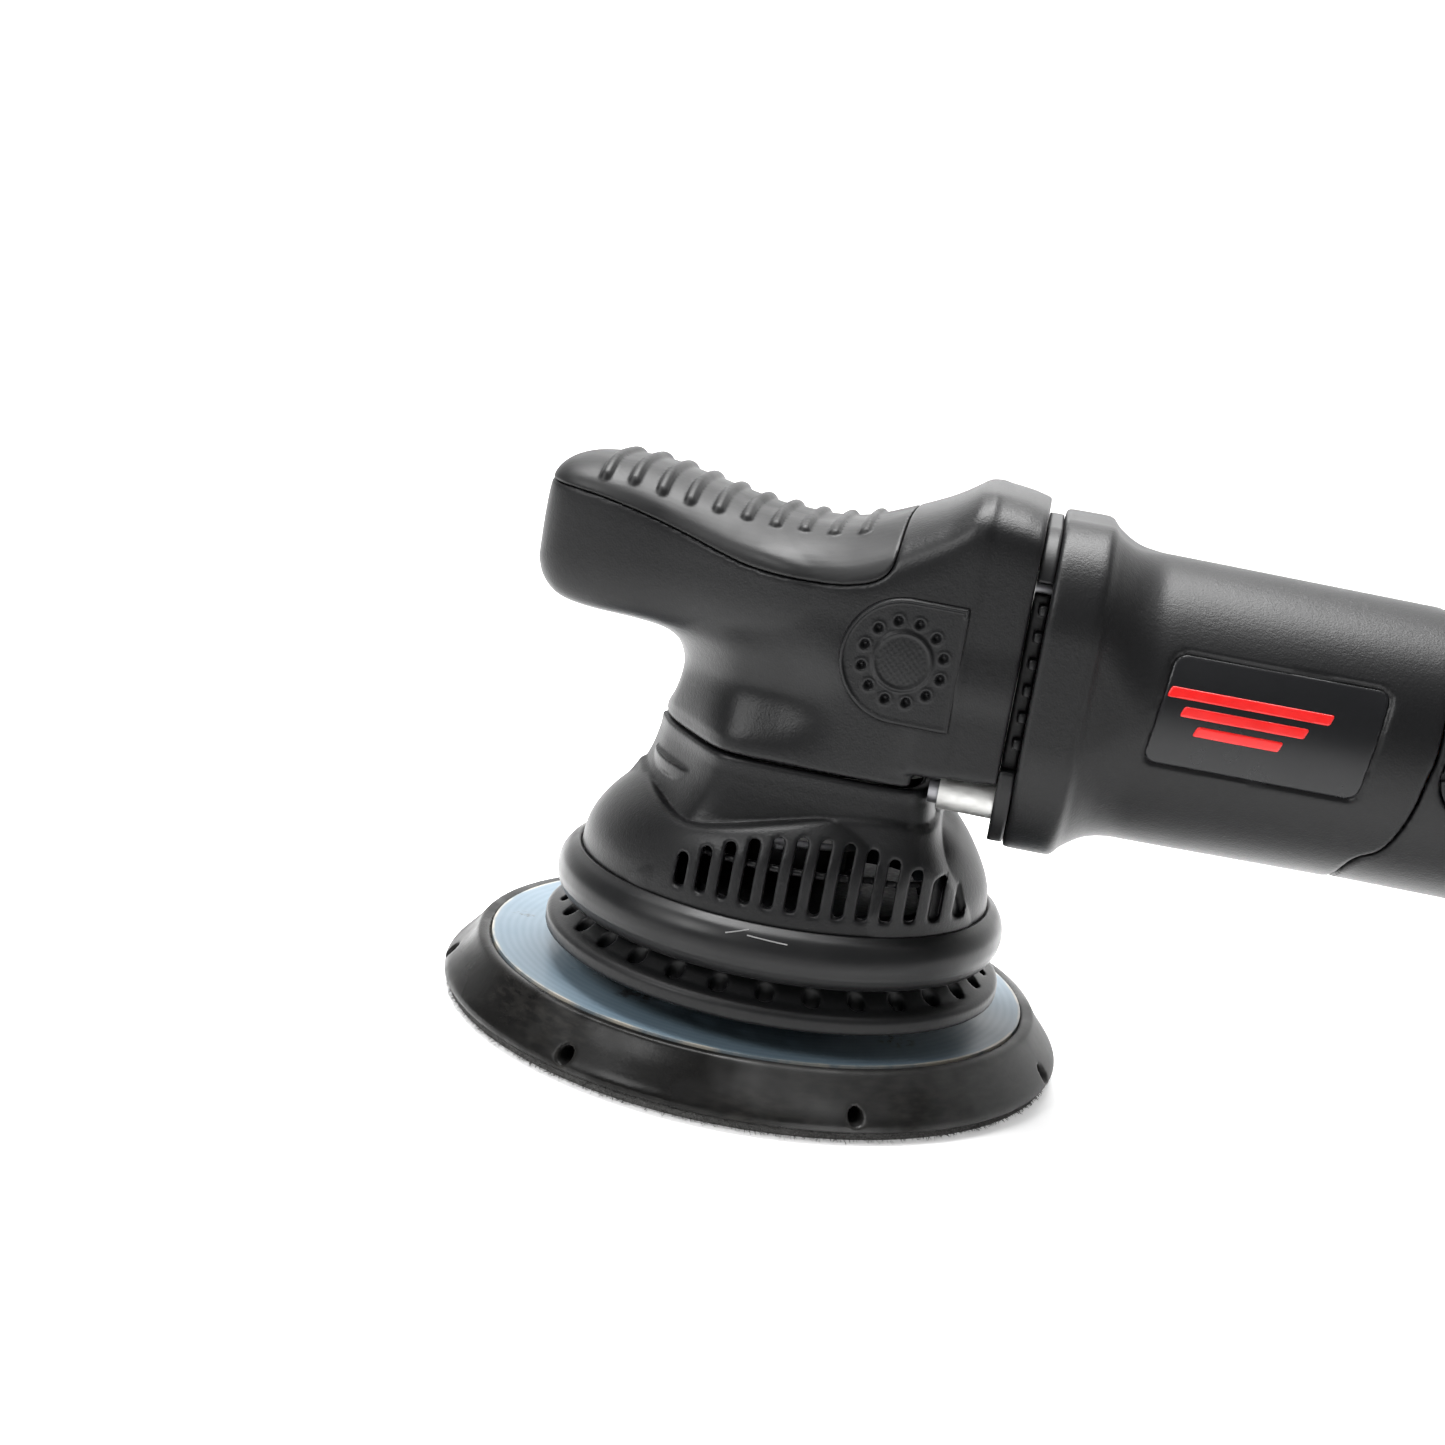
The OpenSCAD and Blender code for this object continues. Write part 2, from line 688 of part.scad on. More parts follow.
module commutator() {
    color("#c27c3a") on_motor(com_x) difference() {
        cylinder(r = com_r, h = com_l);
        translate([0, 0, -1]) cylinder(r = shaft_r + seat, h = com_l + 2);
        for (i = [0 : 23])
            rotate([0, 0, 15 * i]) translate([com_r - 0.6, -0.2, 1.6]) cube([2, 0.4, com_l]);
    }
}

module cooling_fan() {
    blade_n = 12;
    color("#d9dadb") on_motor(front_brg_x + front_brg[2] + 3.4) {
        ring(fan_r, fan_r - 6.5, 1.6);
        ring(fan_r - 5.5, shaft_r + seat, 1.6);
        ring(9, shaft_r + seat, 8);
        for (i = [0 : blade_n - 1])
            rotate([0, 0, 360 * i / blade_n]) translate([8, -0.8, 0]) rotate([0, 0, -14]) cube([fan_r - 9, 1.6, 8]);
    }
}

// ---- gears ------------------------------------------------------------------
// star outline whose teeth run from the root to the tip radius, half widths at both
module tooth_star(n, pts) {
    for (i = [0 : n - 1])
        rotate(360 * i / n)
            polygon(concat(pts, [for (k = [len(pts) - 1 : -1 : 0]) [pts[k][0], -pts[k][1]]]));
}

module bevel_pinion() {
    tip = crown_r * tan(atan(pinion_r / crown_r) + atan(tooth_add / cone_l));
    root = crown_r * tan(atan(pinion_r / crown_r) - atan(tooth_ded / cone_l));
    h = crown_r * (1 - toe_ratio);
    color("#a9acaf") difference() {
        union() {
            on_motor(crown_r) mirror([0, 0, 1]) linear_extrude(height = h, scale = toe_ratio) {
                circle(r = root, $fn = 36);
                tooth_star(pinion_n, [[root - 0.4, 0.62], [pinion_r - 0.45, 0.7], [pinion_r, 0.74],
                    [pinion_r + 0.5, 0.58], [tip, 0.3]]);
            }
            on_motor(crown_r) cylinder(r = 5.4, h = front_brg_x - crown_r);
        }
        on_motor(0) cylinder(r = 3 + seat, h = 60);
    }
}

module crown_gear() {
    pitch_cone = atan(crown_r / pinion_r);
    tip_cone = pitch_cone + atan(tooth_add / cone_l);
    root_cone = pitch_cone - atan(tooth_ded / cone_l);
    tip_scale = pinion_r / (cone_l * cos(tip_cone));
    root_scale = pinion_r / (cone_l * cos(root_cone));
    root_r = pinion_r * tan(root_cone);
    h = pinion_r * (1 - toe_ratio);
    color("#a9acaf") rotate([0, 0, 180 / crown_n]) difference() {
        intersection() {
            union() {
                translate([0, 0, gear_z]) linear_extrude(height = h, scale = toe_ratio)
                    tooth_star(crown_n, [[root_r * 0.5, (tooth_half + tooth_ded * tan(flank)) * root_scale],
                        [root_r, (tooth_half + tooth_ded * tan(flank)) * root_scale],
                        [pinion_r * tan(tip_cone), (tooth_half - tooth_add * tan(flank)) * tip_scale]]);
                crown_blank(root_cone);
                translate([0, 0, motor_z]) crown_low_teeth(tip_cone, root_cone, tip_scale, root_scale, root_r);
            }
            translate([0, 0, gear_z - crown_back]) cylinder(r = crown_r - run, h = 12);
        }
        translate([0, 0, gear_z - 10]) cylinder(r = low_brg[0] + seat, h = 30);
        translate([0, 0, motor_z - pinion_r * toe_ratio - 1.4]) cylinder(r = crown_r * toe_ratio - 1, h = 10);
    }
}

// body of the gear under its teeth: a cone through the roots
module crown_blank(root_cone) {
    toe_r = crown_r * toe_ratio - 2;
    rotate_extrude() polygon([[0, gear_z - crown_back], [crown_r, gear_z - crown_back],
        [crown_r, motor_z - crown_r / tan(root_cone)], [toe_r, motor_z - toe_r / tan(root_cone)],
        [0, motor_z - toe_r / tan(root_cone)]]);
}

// the teeth below the pitch plane, out to the heel
module crown_low_teeth(tip_cone, root_cone, tip_scale, root_scale, root_r) {
    drop = 1.35;
    mirror([0, 0, 1]) translate([0, 0, pinion_r]) linear_extrude(height = pinion_r * (drop - 1), scale = drop)
        tooth_star(crown_n, [[root_r * 0.5, (tooth_half + tooth_ded * tan(flank)) * root_scale],
            [root_r, (tooth_half + tooth_ded * tan(flank)) * root_scale],
            [pinion_r * tan(tip_cone), (tooth_half - tooth_add * tan(flank)) * tip_scale]]);
}

module motor_bearing_inners() {
    color("#c9ccce") {
        on_motor(front_brg_x) inner_race(front_brg);
        on_motor(rear_brg_x) inner_race(rear_brg);
    }
}

// ---- eccentric --------------------------------------------------------------
module spindle() {
    color("#b4b8bb") {
        translate([0, 0, web_z + 0.02]) cylinder(r = 7.5, h = gear_z + 1.2 - web_z);
        translate([0, 0, web_z + web_t]) ring(10, 7.5, low_brg_z - web_z - web_t);
        translate([0, 0, top_brg_z + top_brg[2]]) ring(9.6, 7.5, gear_z - crown_back - top_brg_z - top_brg[2]);
        translate([0, 0, gear_z + 1.2]) cylinder(r = 6, h = 0.8);
    }
}

module spindle_bearing_inners() {
    color("#c9ccce") {
        translate([0, 0, low_brg_z]) inner_race(low_brg);
        translate([0, 0, top_brg_z]) inner_race(top_brg);
    }
}

module eccentric_hub() {
    color("#aeb1b3") rotate([0, 0, rest_turn]) difference() {
        union() {
            translate([throw, 0, hub_z]) cylinder(r = hub_outer_r, h = hub_h + web_t);
            translate([0, 0, web_z - 5]) cylinder(r = 14, h = web_t + 5);
        }
        translate([throw, 0, hub_z - 1]) cylinder(r = pad_brg[1], h = hub_h + 0.6);
        translate([throw, 0, hub_z]) translate([0, 0, 0.2]) cylinder(r = pad_brg[1] + 0.8, h = 1);
        translate([0, 0, web_z]) cylinder(r = 7.5 + seat, h = 20);
        weight_screw_holes(1.7, hub_z - 1, 10);
    }
}

// three screws on the ring of the pad bearing, on the side away from the plate
module weight_screw_holes(r, z, h) {
    for (a = screw_turns)
        translate([throw, 0, 0]) rotate([0, 0, 180 + a]) translate([screw_pcr, 0, z]) cylinder(r = r, h = h);
}

// fan-shaped casting: plate under the hub, thick block beyond it
module counterweight() {
    color("#9d9fa1") rotate([0, 0, rest_turn]) difference() {
        union() {
            translate([0, 0, weight_z]) weight_slab(weight_t);
            difference() {
                translate([0, 0, hub_z]) weight_slab(hub_h - 2);
                translate([throw, 0, hub_z - 1]) cylinder(r = hub_outer_r + 0.5, h = hub_h + 4);
            }
        }
        translate([throw, 0, weight_z - 1]) cylinder(r = 9.6, h = 40);
        translate([throw, 0, weight_z - 1]) cylinder(r = 26, h = 1.8);
        translate([0, 0, web_z - 5.5]) cylinder(r = 14.4, h = 20);
        weight_screw_holes(2.1, weight_z - 1, 20);
        weight_screw_holes(4, weight_z - 1, 4);
    }
}

module weight_slab(h) {
    intersection() {
        cylinder(r = weight_r, h = h);
        linear_extrude(height = h) polygon(concat(
            curve([[3.2, -20], [3.2, 0], [3.2, 20], [1.4, 26.5], [-3.4, 29.8], [-9, 29.4], [-28, 25.2], [-34, 22],
                [-38, 16], [-40.8, 0], [-38, -16], [-34, -22], [-28, -25.2], [-9, -29.4], [-3.4, -29.8],
                [1.4, -26.5], [3.2, -20]], 3), [[3.2, -20]]));
    }
}

module weight_screws() {
    color("#c3c6c8") rotate([0, 0, rest_turn]) for (a = screw_turns)
        translate([throw, 0, 0]) rotate([0, 0, 180 + a]) translate([screw_pcr, 0, weight_z + 1.4]) {
            pan_head(3.1, 1.6);
            cylinder(r = 1.7 - seat, h = hub_z + 8 - weight_z - 1.4);
        }
}

module pad_bearing_outers() {
    color("#c9ccce") at_plate_axis() for (k = [0, 1])
        translate([0, 0, hub_z + 1.2 + k * (pad_brg[2] - 0.35)])
            ring(pad_brg[1] - seat, pad_brg[0] + 2.2 + run, pad_brg[2] - 0.45);
}

module circlip() {
    color("#55585b") at_plate_axis() translate([0, 0, hub_z + 0.2]) difference() {
        ring(pad_brg[1] + 0.7, pad_brg[1] - 1.8, 0.95);
        translate([8, -2.5, -1]) cube([10, 5, 3]);
    }
}

// ---- plate side -------------------------------------------------------------
module pad_spindle() {
    color("#b4b8bb") at_plate_axis() difference() {
        union() {
            translate([0, 0, drive_top]) cylinder(r = 7.8, h = hub_z + 0.8 - drive_top);
            translate([0, 0, hub_z + 0.8]) cylinder(r = pad_brg[0] - seat, h = 2 * pad_brg[2] - 0.6);
            translate([0, 0, hub_top]) cylinder(r = 5.9, h = drive_t);
        }
        translate([0, 0, hub_top - 1]) cylinder(r = 3.4, h = 17);
    }
}

module pad_bearing_inners() {
    color("#c9ccce") at_plate_axis() for (k = [0, 1])
        translate([0, 0, hub_z + 0.8 + k * (pad_brg[2] - 0.3)]) ring(pad_brg[0] + 2.2, pad_brg[0], pad_brg[2] - 0.3);
}

// three-cornered plate with its pins, keyed into the backing disc's hub
module drive_plate() {
    color("#d2d4d6") at_plate_axis() {
        difference() {
            intersection() {
                translate([0, 0, hub_top]) linear_extrude(height = drive_t)
                    polygon([for (a = [0 : 120 : 359], s = [-1, 1]) 17.6 * [cos(a + 10.5 * s), sin(a + 10.5 * s)]]);
                translate([0, 0, hub_top - 1]) cylinder(r = pin_pcr + 4.2, h = drive_t + 2);
            }
            translate([0, 0, hub_top - 1]) cylinder(r = 5.9 + seat, h = drive_t + 2);
        }
        for (a = [0 : 120 : 359])
            rotate([0, 0, a]) translate([pin_pcr, 0, hub_top - 3]) cylinder(r = pin_r - 0.05, h = 3 + drive_t + 0.4);
    }
}

module backing_disc() {
    color("#7f95a6") at_plate_axis() difference() {
        union() {
            translate([0, 0, foam_top - 1.2]) cylinder(r = disc_r, h = disc_top - foam_top + 1.2);
            translate([0, 0, foam_top - 4.4]) cylinder(r = hub_r + 3, h = 3.3);
            translate([0, 0, disc_top - 0.1]) cylinder(r1 = hub_r + 1, r2 = hub_r - 1, h = hub_top - disc_top + 0.1);
        }
        translate([0, 0, foam_top - 5]) cylinder(r = 4.2, h = 20);
        for (a = [0 : 120 : 359])
            rotate([0, 0, a]) translate([pin_pcr, 0, hub_top - 3.5]) cylinder(r = pin_r, h = 5);
    }
}

module foam_plate() {
    edge = plate_d / 2;
    color("#1f2021") at_plate_axis() difference() {
        rotate_extrude() polygon([[plate_hole_r, hook_t], [edge - 1.2, hook_t], [edge, hook_t + 1.6],
            [edge - 0.7, hook_t + 3], [edge - 4.3, hook_t + 7.2], [lip_r + 0.6, foam_top - 0.8],
            [lip_r - 0.6, foam_top + 0.4], [disc_r + 0.05, foam_top + 0.4], [disc_r + 0.05, foam_top - 1.2],
            [hub_r + 3.05, foam_top - 1.2], [hub_r + 3.05, foam_top - 4.4], [plate_hole_r, foam_top - 4.4]]);
        for (i = [0 : foam_hole_n - 1])
            rotate([0, 0, 360 * i / foam_hole_n + 32]) translate([edge - 12, 0, hook_t + 3.4])
                rotate([0, 90, 0]) cylinder(r = 1.75, h = 20, $fn = 32);
    }
}

module hook_face() {
    color("#3a3b3c") at_plate_axis() ring(plate_d / 2 - 1.6, plate_hole_r, hook_t);
}

module plate_bolt() {
    head_z = foam_top - 4.4;
    color("#c3c6c8") at_plate_axis() {
        difference() {
            translate([0, 0, head_z - 1.2 - 4.6]) cylinder(r = 6.4, h = 4.6);
            translate([0, 0, head_z - 1.2 - 5]) cylinder(r = 3.46, h = 3.2, $fn = 6);
        }
        translate([0, 0, head_z - 1.2]) cylinder(r = 8.7, h = 1.2);
        translate([0, 0, head_z]) cylinder(r = 4, h = hub_top - head_z);
        translate([0, 0, hub_top]) cylinder(r = 3.4 - seat, h = 13);
    }
}

// ---- rear handle ------------------------------------------------------------
function handle_side(t) = concat(
    curve([[barrel_end - 20, motor_z + tail_r - t], [barrel_end, motor_z + tail_r - t],
        [bell_end - 12, motor_z + tail_r - 0.8 - t],
        [bell_end + 2, motor_z + tail_r - 6 - t], [bell_end + 18, grip_z + 21 - t], [handle_end - 90, grip_z + 20 - t],
        [handle_end - 45, grip_z + 20.5 - t], [handle_end - 14, grip_z + 21.5 - t], [handle_end - 2 - t, grip_z + 15],
        [handle_end - t, grip_z]], 4),
    curve([[handle_end - t, grip_z], [handle_end - 2 - t, grip_z - 16], [handle_end - 12, grip_z - 23.5 + t],
        [handle_end - 30, grip_z - 23 + t], [handle_end - 46, grip_z - 20.5 + t], [trigger_x + 40, grip_z - 20 + t],
        [trigger_x, grip_z - 21 + t], [bell_end + 2, motor_z - tail_r + 6 + t], [bell_end - 12, motor_z - tail_r + 0.8 + t],
        [barrel_end, motor_z - tail_r + t], [barrel_end - 20, motor_z - tail_r + t]], 4));

function handle_plan(t) = let (half = [[barrel_end - 20, tail_r - t], [barrel_end, tail_r - t],
        [bell_end - 12, tail_r - 0.8 - t],
        [bell_end + 4, tail_r - 5 - t], [bell_end + 20, grip_hw + 1 - t], [handle_end - 90, grip_hw - t],
        [handle_end - 40, grip_hw - t], [handle_end - 12, grip_hw + 1 - t], [handle_end - 2 - t, grip_hw - 6], [handle_end - t, 0]])
    concat(curve(half, 4), [for (i = [len(half) - 1 : -1 : 0]) [half[i][0], -half[i][1]]]);

// whole handle as a solid, walls moved in by t
module handle_form(t) {
    intersection() {
        side_slab(handle_side(t), far / 4);
        linear_extrude(height = far) polygon(handle_plan(t));
        on_motor(0) cylinder(r = tail_r - t, h = far);
    }
}

module handle_shell() {
    difference() {
        intersection() {
            handle_form(0);
            rear_side();
        }
        difference() {
            handle_form(wall);
            handle_bosses();
        }
        on_motor(0) cylinder(r = tail_r - wall, h = bell_end - 8);
        trigger_window();
        for (s = [-1, 1])
            translate([com_x + 7, s * coil_y, motor_z]) rotate([-90 * s, 0, 0]) cylinder(r = 8.1, h = 40);
        for (s = [-1, 1])
            grille_window(s, 0);
        translate([dial_x(), 0, grip_z + 20]) cube([24, 8.4, 24], center = true);
        translate([lock_x(), -far / 4, lock_z()]) rotate([-90, 0, 0]) cylinder(r = 6.3, h = far / 4);
        on_motor(handle_end - 20) translate([motor_z - grip_z, 0, 0]) cylinder(r = 9.05, h = 40);
        handle_screw_cuts();
        overmould_zone(0);
    }
}

function dial_x() = handle_end - 42;
function lock_x() = trigger_x + 18;
function lock_z() = grip_z + 6;
function boss_places() = [[bell_end + 6, grip_z + 13], [bell_end + 6, grip_z - 13], [handle_end - 78, grip_z + 14],
    [handle_end - 24, grip_z + 13], [handle_end - 24, grip_z - 14]];

module handle_bosses() {
    for (p = boss_places())
        translate([p[0], 0, p[1]]) rotate([90, 0, 0]) cylinder(r = 4, h = far, center = true);
}

module handle_screw_cuts() {
    for (p = boss_places())
        translate([p[0], 0, p[1]]) rotate([90, 0, 0]) {
            cylinder(r = 1.5, h = 30, center = true);
            translate([0, 0, 11]) cylinder(r = 3.4, h = far);
        }
}

module trigger_window() {
    translate([trigger_x - 2, -9.5, 0]) cube([trigger_l + 4, 19, grip_z - 12]);
}

// cooling air comes in through a louvred window on each side behind the brushes
module grille_window(s, gap) {
    translate([bell_end - 10.5 - gap, s * (tail_r + 12), motor_z]) cube([7 + 2 * gap, 40, 26 + 2 * gap], center = true);
}

module overmould_zone(gap) {
    difference() {
        intersection() {
            translate([bell_end + 14, -far / 4, grip_z - 2]) cube([handle_end - 58 - bell_end - 14, far / 2, 40]);
            handle_form(0);
        }
        handle_form(1.6);
        translate([lock_x(), -far / 4, lock_z()]) rotate([-90, 0, 0]) cylinder(r = 8.2, h = far / 2);
        for (p = boss_places())
            translate([p[0], 0, p[1]]) rotate([90, 0, 0]) cylinder(r = 4.6, h = far, center = true);
    }
}

module handle_left() {
    color("#2c2d2f") intersection() {
        handle_shell();
        cube(2 * far);
    }
}

module handle_right() {
    color("#2c2d2f") intersection() {
        handle_shell();
        translate([0, -2 * far, 0]) cube(2 * far);
    }
}

module handle_overmould() {
    color("#1e1f20") overmould_zone(0);
}

module intake_grilles() {
    color("#1b1c1d") for (s = [-1, 1])
        intersection() {
            difference() {
                grille_window(s, -0.05);
                for (k = [-3 : 3])
                    translate([bell_end - 10.5, s * 30, motor_z + k * 3.6]) cube([5, 60, 1.8], center = true);
            }
            difference() {
                handle_form(0.6);
                handle_form(wall - 0.2);
                on_motor(0) cylinder(r = tail_r - wall, h = far);
            }
        }
}

module handle_screws() {
    color("#6d7073") for (p = boss_places())
        translate([p[0], 0, p[1]]) rotate([90, 0, 0]) {
            translate([0, 0, 11]) cylinder(r = 2.9, h = 2);
            translate([0, 0, -9]) cylinder(r = 1.5 - seat, h = 20);
        }
}

module switch_module() {
    color("#2f4f78") translate([trigger_x + 8, -8, grip_z - 7]) cube([36, 16, 13]);
}

module speed_board() {
    color("#2b6b45") translate([dial_x() - 22, -12, grip_z - 9]) cube([34, 24, 3]);
    color("#d8d2c0") translate([dial_x() - 6, -7, grip_z - 6]) cube([12, 14, 5]);
}

// inlet for the cord, which is not part of this model
module cord_gland() {
    color("#1b1c1d") on_motor(handle_end - 14) translate([motor_z - grip_z, 0, 0]) difference() {
        union() {
            cylinder(r = 9, h = 20);
            cylinder(r = 11.5, h = 3);
            translate([0, 0, 20]) cylinder(r1 = 9, r2 = 7.2, h = 8);
            translate([0, 0, 14.05]) cylinder(r = 11, h = 3);
        }
        translate([0, 0, -1]) cylinder(r = 4.4, h = 40);
    }
}

module trigger() {
    top = grip_z - 16.5;
    color("#1b1c1d") difference() {
        union() {
            side_slab(concat(curve([[trigger_x - 1, top], [trigger_x - 1, trigger_z - 3],
                [trigger_x + 3, trigger_z - 8.5], [trigger_x + 14, trigger_z - 9.5],
                [trigger_x + 34, trigger_z - 6.5], [trigger_x + trigger_l - 8, trigger_z - 4.2],
                [trigger_x + trigger_l, trigger_z - 1]], 4), [[trigger_x + trigger_l, trigger_z - 1],
                [trigger_x + trigger_l, top - 1], [trigger_x + trigger_l - 6, top]]), 9);
            translate([trigger_x + trigger_l - 4, 0, top - 0.6]) rotate([90, 0, 0])
                cylinder(r = 3, h = 18, center = true);
        }
        translate([trigger_x + 20, 0, top - 4]) cylinder(r = 5, h = 10);
    }
}

module trigger_spring() {
    color("#9a9da0") for (k = [0 : 4])
        translate([trigger_x + 20, 0, grip_z - 19.2 + 2.4 * k])
            rotate_extrude($fn = 32) translate([3.6, 0]) circle(r = 0.6, $fn = 12);
}

module lock_button() {
    color("#1b1c1d") translate([lock_x(), -grip_hw - 2.6, lock_z()]) rotate([-90, 0, 0]) cylinder(r = 6, h = 8);
}

module speed_dial() {
    color("#c9342b") translate([dial_x(), 0, grip_z + 12.5]) rotate([90, 0, 0]) difference() {
        cylinder(r = 10.6, h = 7, center = true);
        for (i = [0 : 23])
            rotate([0, 0, 15 * i]) translate([10.9, 0, -5]) cylinder(r = 0.7, h = 10, $fn = 12);
        cylinder(r = 1.6, h = 10, center = true);
    }
}

head_cover();
palm_grip();
side_badges();
gear_case();
bearing_retainer();
retainer_screws();
spindle_bearing_outers();
motor_bearing_outers();
shroud();
shroud_screws();
bumper_ring();
skirt_flange();
air_ring();
case_screws();
motor_housing();
name_plates();
plate_stripes();
stator_core();
field_coils();
fan_baffle();
brush_carrier();
rear_bearing_spider();
brush_holders();
carbon_brushes();
brush_springs();
brush_caps();
handle_left();
handle_right();
handle_overmould();
intake_grilles();
handle_screws();
switch_module();
speed_board();
cord_gland();
motor_shaft();
armature_core();
armature_winding();
commutator();
cooling_fan();
bevel_pinion();
motor_bearing_inners();
spindle();
crown_gear();
spindle_bearing_inners();
eccentric_hub();
counterweight();
weight_screws();
pad_bearing_outers();
circlip();
pad_spindle();
pad_bearing_inners();
drive_plate();
backing_disc();
foam_plate();
hook_face();
plate_bolt();
trigger();
trigger_spring();
lock_button();
speed_dial();
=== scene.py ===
"""Looks for the dual action polisher: moulded shells, rubber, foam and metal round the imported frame.

Shapes are described in millimetres as distance fields (negative inside) and turned into quad meshes.
"""
import json
import math

import bpy
import numpy as np
from mathutils import Matrix, Vector


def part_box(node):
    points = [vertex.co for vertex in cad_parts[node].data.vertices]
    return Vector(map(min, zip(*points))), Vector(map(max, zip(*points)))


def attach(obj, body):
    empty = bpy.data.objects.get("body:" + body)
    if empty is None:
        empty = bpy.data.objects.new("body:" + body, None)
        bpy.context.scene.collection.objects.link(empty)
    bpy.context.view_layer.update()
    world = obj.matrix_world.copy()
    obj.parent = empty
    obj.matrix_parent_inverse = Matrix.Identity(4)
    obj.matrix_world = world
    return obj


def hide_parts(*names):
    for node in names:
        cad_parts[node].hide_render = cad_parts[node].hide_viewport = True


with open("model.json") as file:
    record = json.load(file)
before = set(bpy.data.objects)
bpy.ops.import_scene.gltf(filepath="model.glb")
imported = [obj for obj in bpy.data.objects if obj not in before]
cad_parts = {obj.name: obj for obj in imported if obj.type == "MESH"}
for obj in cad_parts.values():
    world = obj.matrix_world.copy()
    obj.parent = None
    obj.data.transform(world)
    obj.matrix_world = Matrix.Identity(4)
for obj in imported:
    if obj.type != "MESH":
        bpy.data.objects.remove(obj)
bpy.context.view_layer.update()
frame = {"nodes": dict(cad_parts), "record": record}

MM = 0.001
rng = np.random.default_rng(7)

# ---- sizes taken from the frame, in millimetres ----------------------------------


def node_box(node):
    low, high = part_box(node)
    return np.array(low) / MM, np.array(high) / MM


HEAD_LOW, HEAD_HIGH = node_box("head_cover")
MOTOR_LOW, MOTOR_HIGH = node_box("motor_housing")
SHROUD_LOW, SHROUD_HIGH = node_box("shroud")
PLATE_LOW, PLATE_HIGH = node_box("foam_plate")
SKIRT_LOW, SKIRT_HIGH = node_box("skirt_flange")
RING_LOW, RING_HIGH = node_box("bumper_ring")
DISC_LOW, DISC_HIGH = node_box("backing_disc")
HANDLE_HIGH = node_box("handle_left")[1]
MOTOR_Z = (MOTOR_LOW[2] + MOTOR_HIGH[2]) / 2
PLATE_X, PLATE_Y = ((PLATE_LOW + PLATE_HIGH) / 2)[:2]
NECK_Z = HEAD_LOW[2]
HEAD_END = HEAD_HIGH[0]
FLANGE_X = MOTOR_LOW[0]
BARREL_END = MOTOR_HIGH[0]


# ---- camera ----------------------------------------------------------------------

CAMERA_AZIMUTH = math.radians(5.4)
CAMERA_ELEVATION = math.radians(20.2)
CAMERA_DISTANCE = 0.5
CAMERA_AIM = Vector((-0.0203, 0, 0.0723))
CAMERA_ROLL = math.radians(9.5)
CAMERA_LENS = 51.2


def make_camera():
    data = bpy.data.cameras.new("camera")
    data.lens = CAMERA_LENS
    data.sensor_width = 36
    data.clip_start = 0.01
    camera = bpy.data.objects.new("camera", data)
    bpy.context.scene.collection.objects.link(camera)
    flat = math.cos(CAMERA_ELEVATION)
    place = CAMERA_DISTANCE * Vector((
        math.sin(CAMERA_AZIMUTH) * flat,
        -math.cos(CAMERA_AZIMUTH) * flat,
        math.sin(CAMERA_ELEVATION),
    ))
    facing = (CAMERA_AIM - place).to_track_quat("-Z", "Y").to_matrix()
    roll = Matrix.Rotation(CAMERA_ROLL, 3, "Z")
    camera.matrix_world = Matrix.Translation(place) @ (facing @ roll).to_4x4()
    bpy.context.scene.camera = camera


make_camera()
bpy.context.scene.view_settings.view_transform = "Standard"

# ---- floor and light ---------------------------------------------------------------


def area_light(name, place, aim, size, power):
    data = bpy.data.lights.new(name, "AREA")
    data.shape = "RECTANGLE"
    data.size, data.size_y = size
    data.energy = power
    lamp = bpy.data.objects.new(name, data)
    bpy.context.scene.collection.objects.link(lamp)
    lamp.location = place
    lamp.rotation_euler = (Vector(aim) - Vector(place)).to_track_quat("-Z", "Y").to_euler()
    return lamp


def make_stage():
    """Floor that sweeps up into a wall behind the object."""
    bend_y, bend_r = 1.1, 1.0
    line = [(-4, 0), (-1, 0), (bend_y, 0)]
    for t in np.linspace(0.1, math.pi / 2, 14):
        line.append((bend_y + bend_r * math.sin(t), bend_r - bend_r * math.cos(t)))
    line += [(bend_y + bend_r, 4)]
    verts = [(x, y, z) for y, z in line for x in (-5, 5)]
    faces = [(2 * k, 2 * k + 1, 2 * k + 3, 2 * k + 2) for k in range(len(line) - 1)]
    mesh = bpy.data.meshes.new("floor")
    mesh.from_pydata(verts, [], faces)
    mesh.polygons.foreach_set("use_smooth", [True] * len(faces))
    floor = bpy.data.objects.new("floor", mesh)
    bpy.context.scene.collection.objects.link(floor)
    paint = bpy.data.materials.new("floor_white")
    paint.use_nodes = True
    shader = paint.node_tree.nodes["Principled BSDF"]
    shader.inputs["Base Color"].default_value = (0.95, 0.95, 0.95, 1)
    shader.inputs["Roughness"].default_value = 0.8
    shader.inputs["Emission Color"].default_value = (1, 1, 1, 1)
    shader.inputs["Emission Strength"].default_value = 0.35
    mesh.materials.append(paint)
    world = bpy.data.worlds.new("studio")
    bpy.context.scene.world = world
    world.use_nodes = True
    sky = world.node_tree.nodes["Background"]
    sky.inputs["Color"].default_value = (1, 1, 1, 1)
    sky.inputs["Strength"].default_value = 0.26
    area_light("top", (-0.1, 0.25, 1.2), (0.02, 0, 0.08), (0.9, 0.7), 40)
    area_light("key", (-0.7, -0.7, 0.8), (0.02, 0, 0.07), (0.5, 0.4), 9)
    area_light("wall", (0, 0.2, 1.6), (0, 2.1, 0.8), (2.5, 1.0), 45)


make_stage()

# ---- distance fields ------------------------------------------------------------


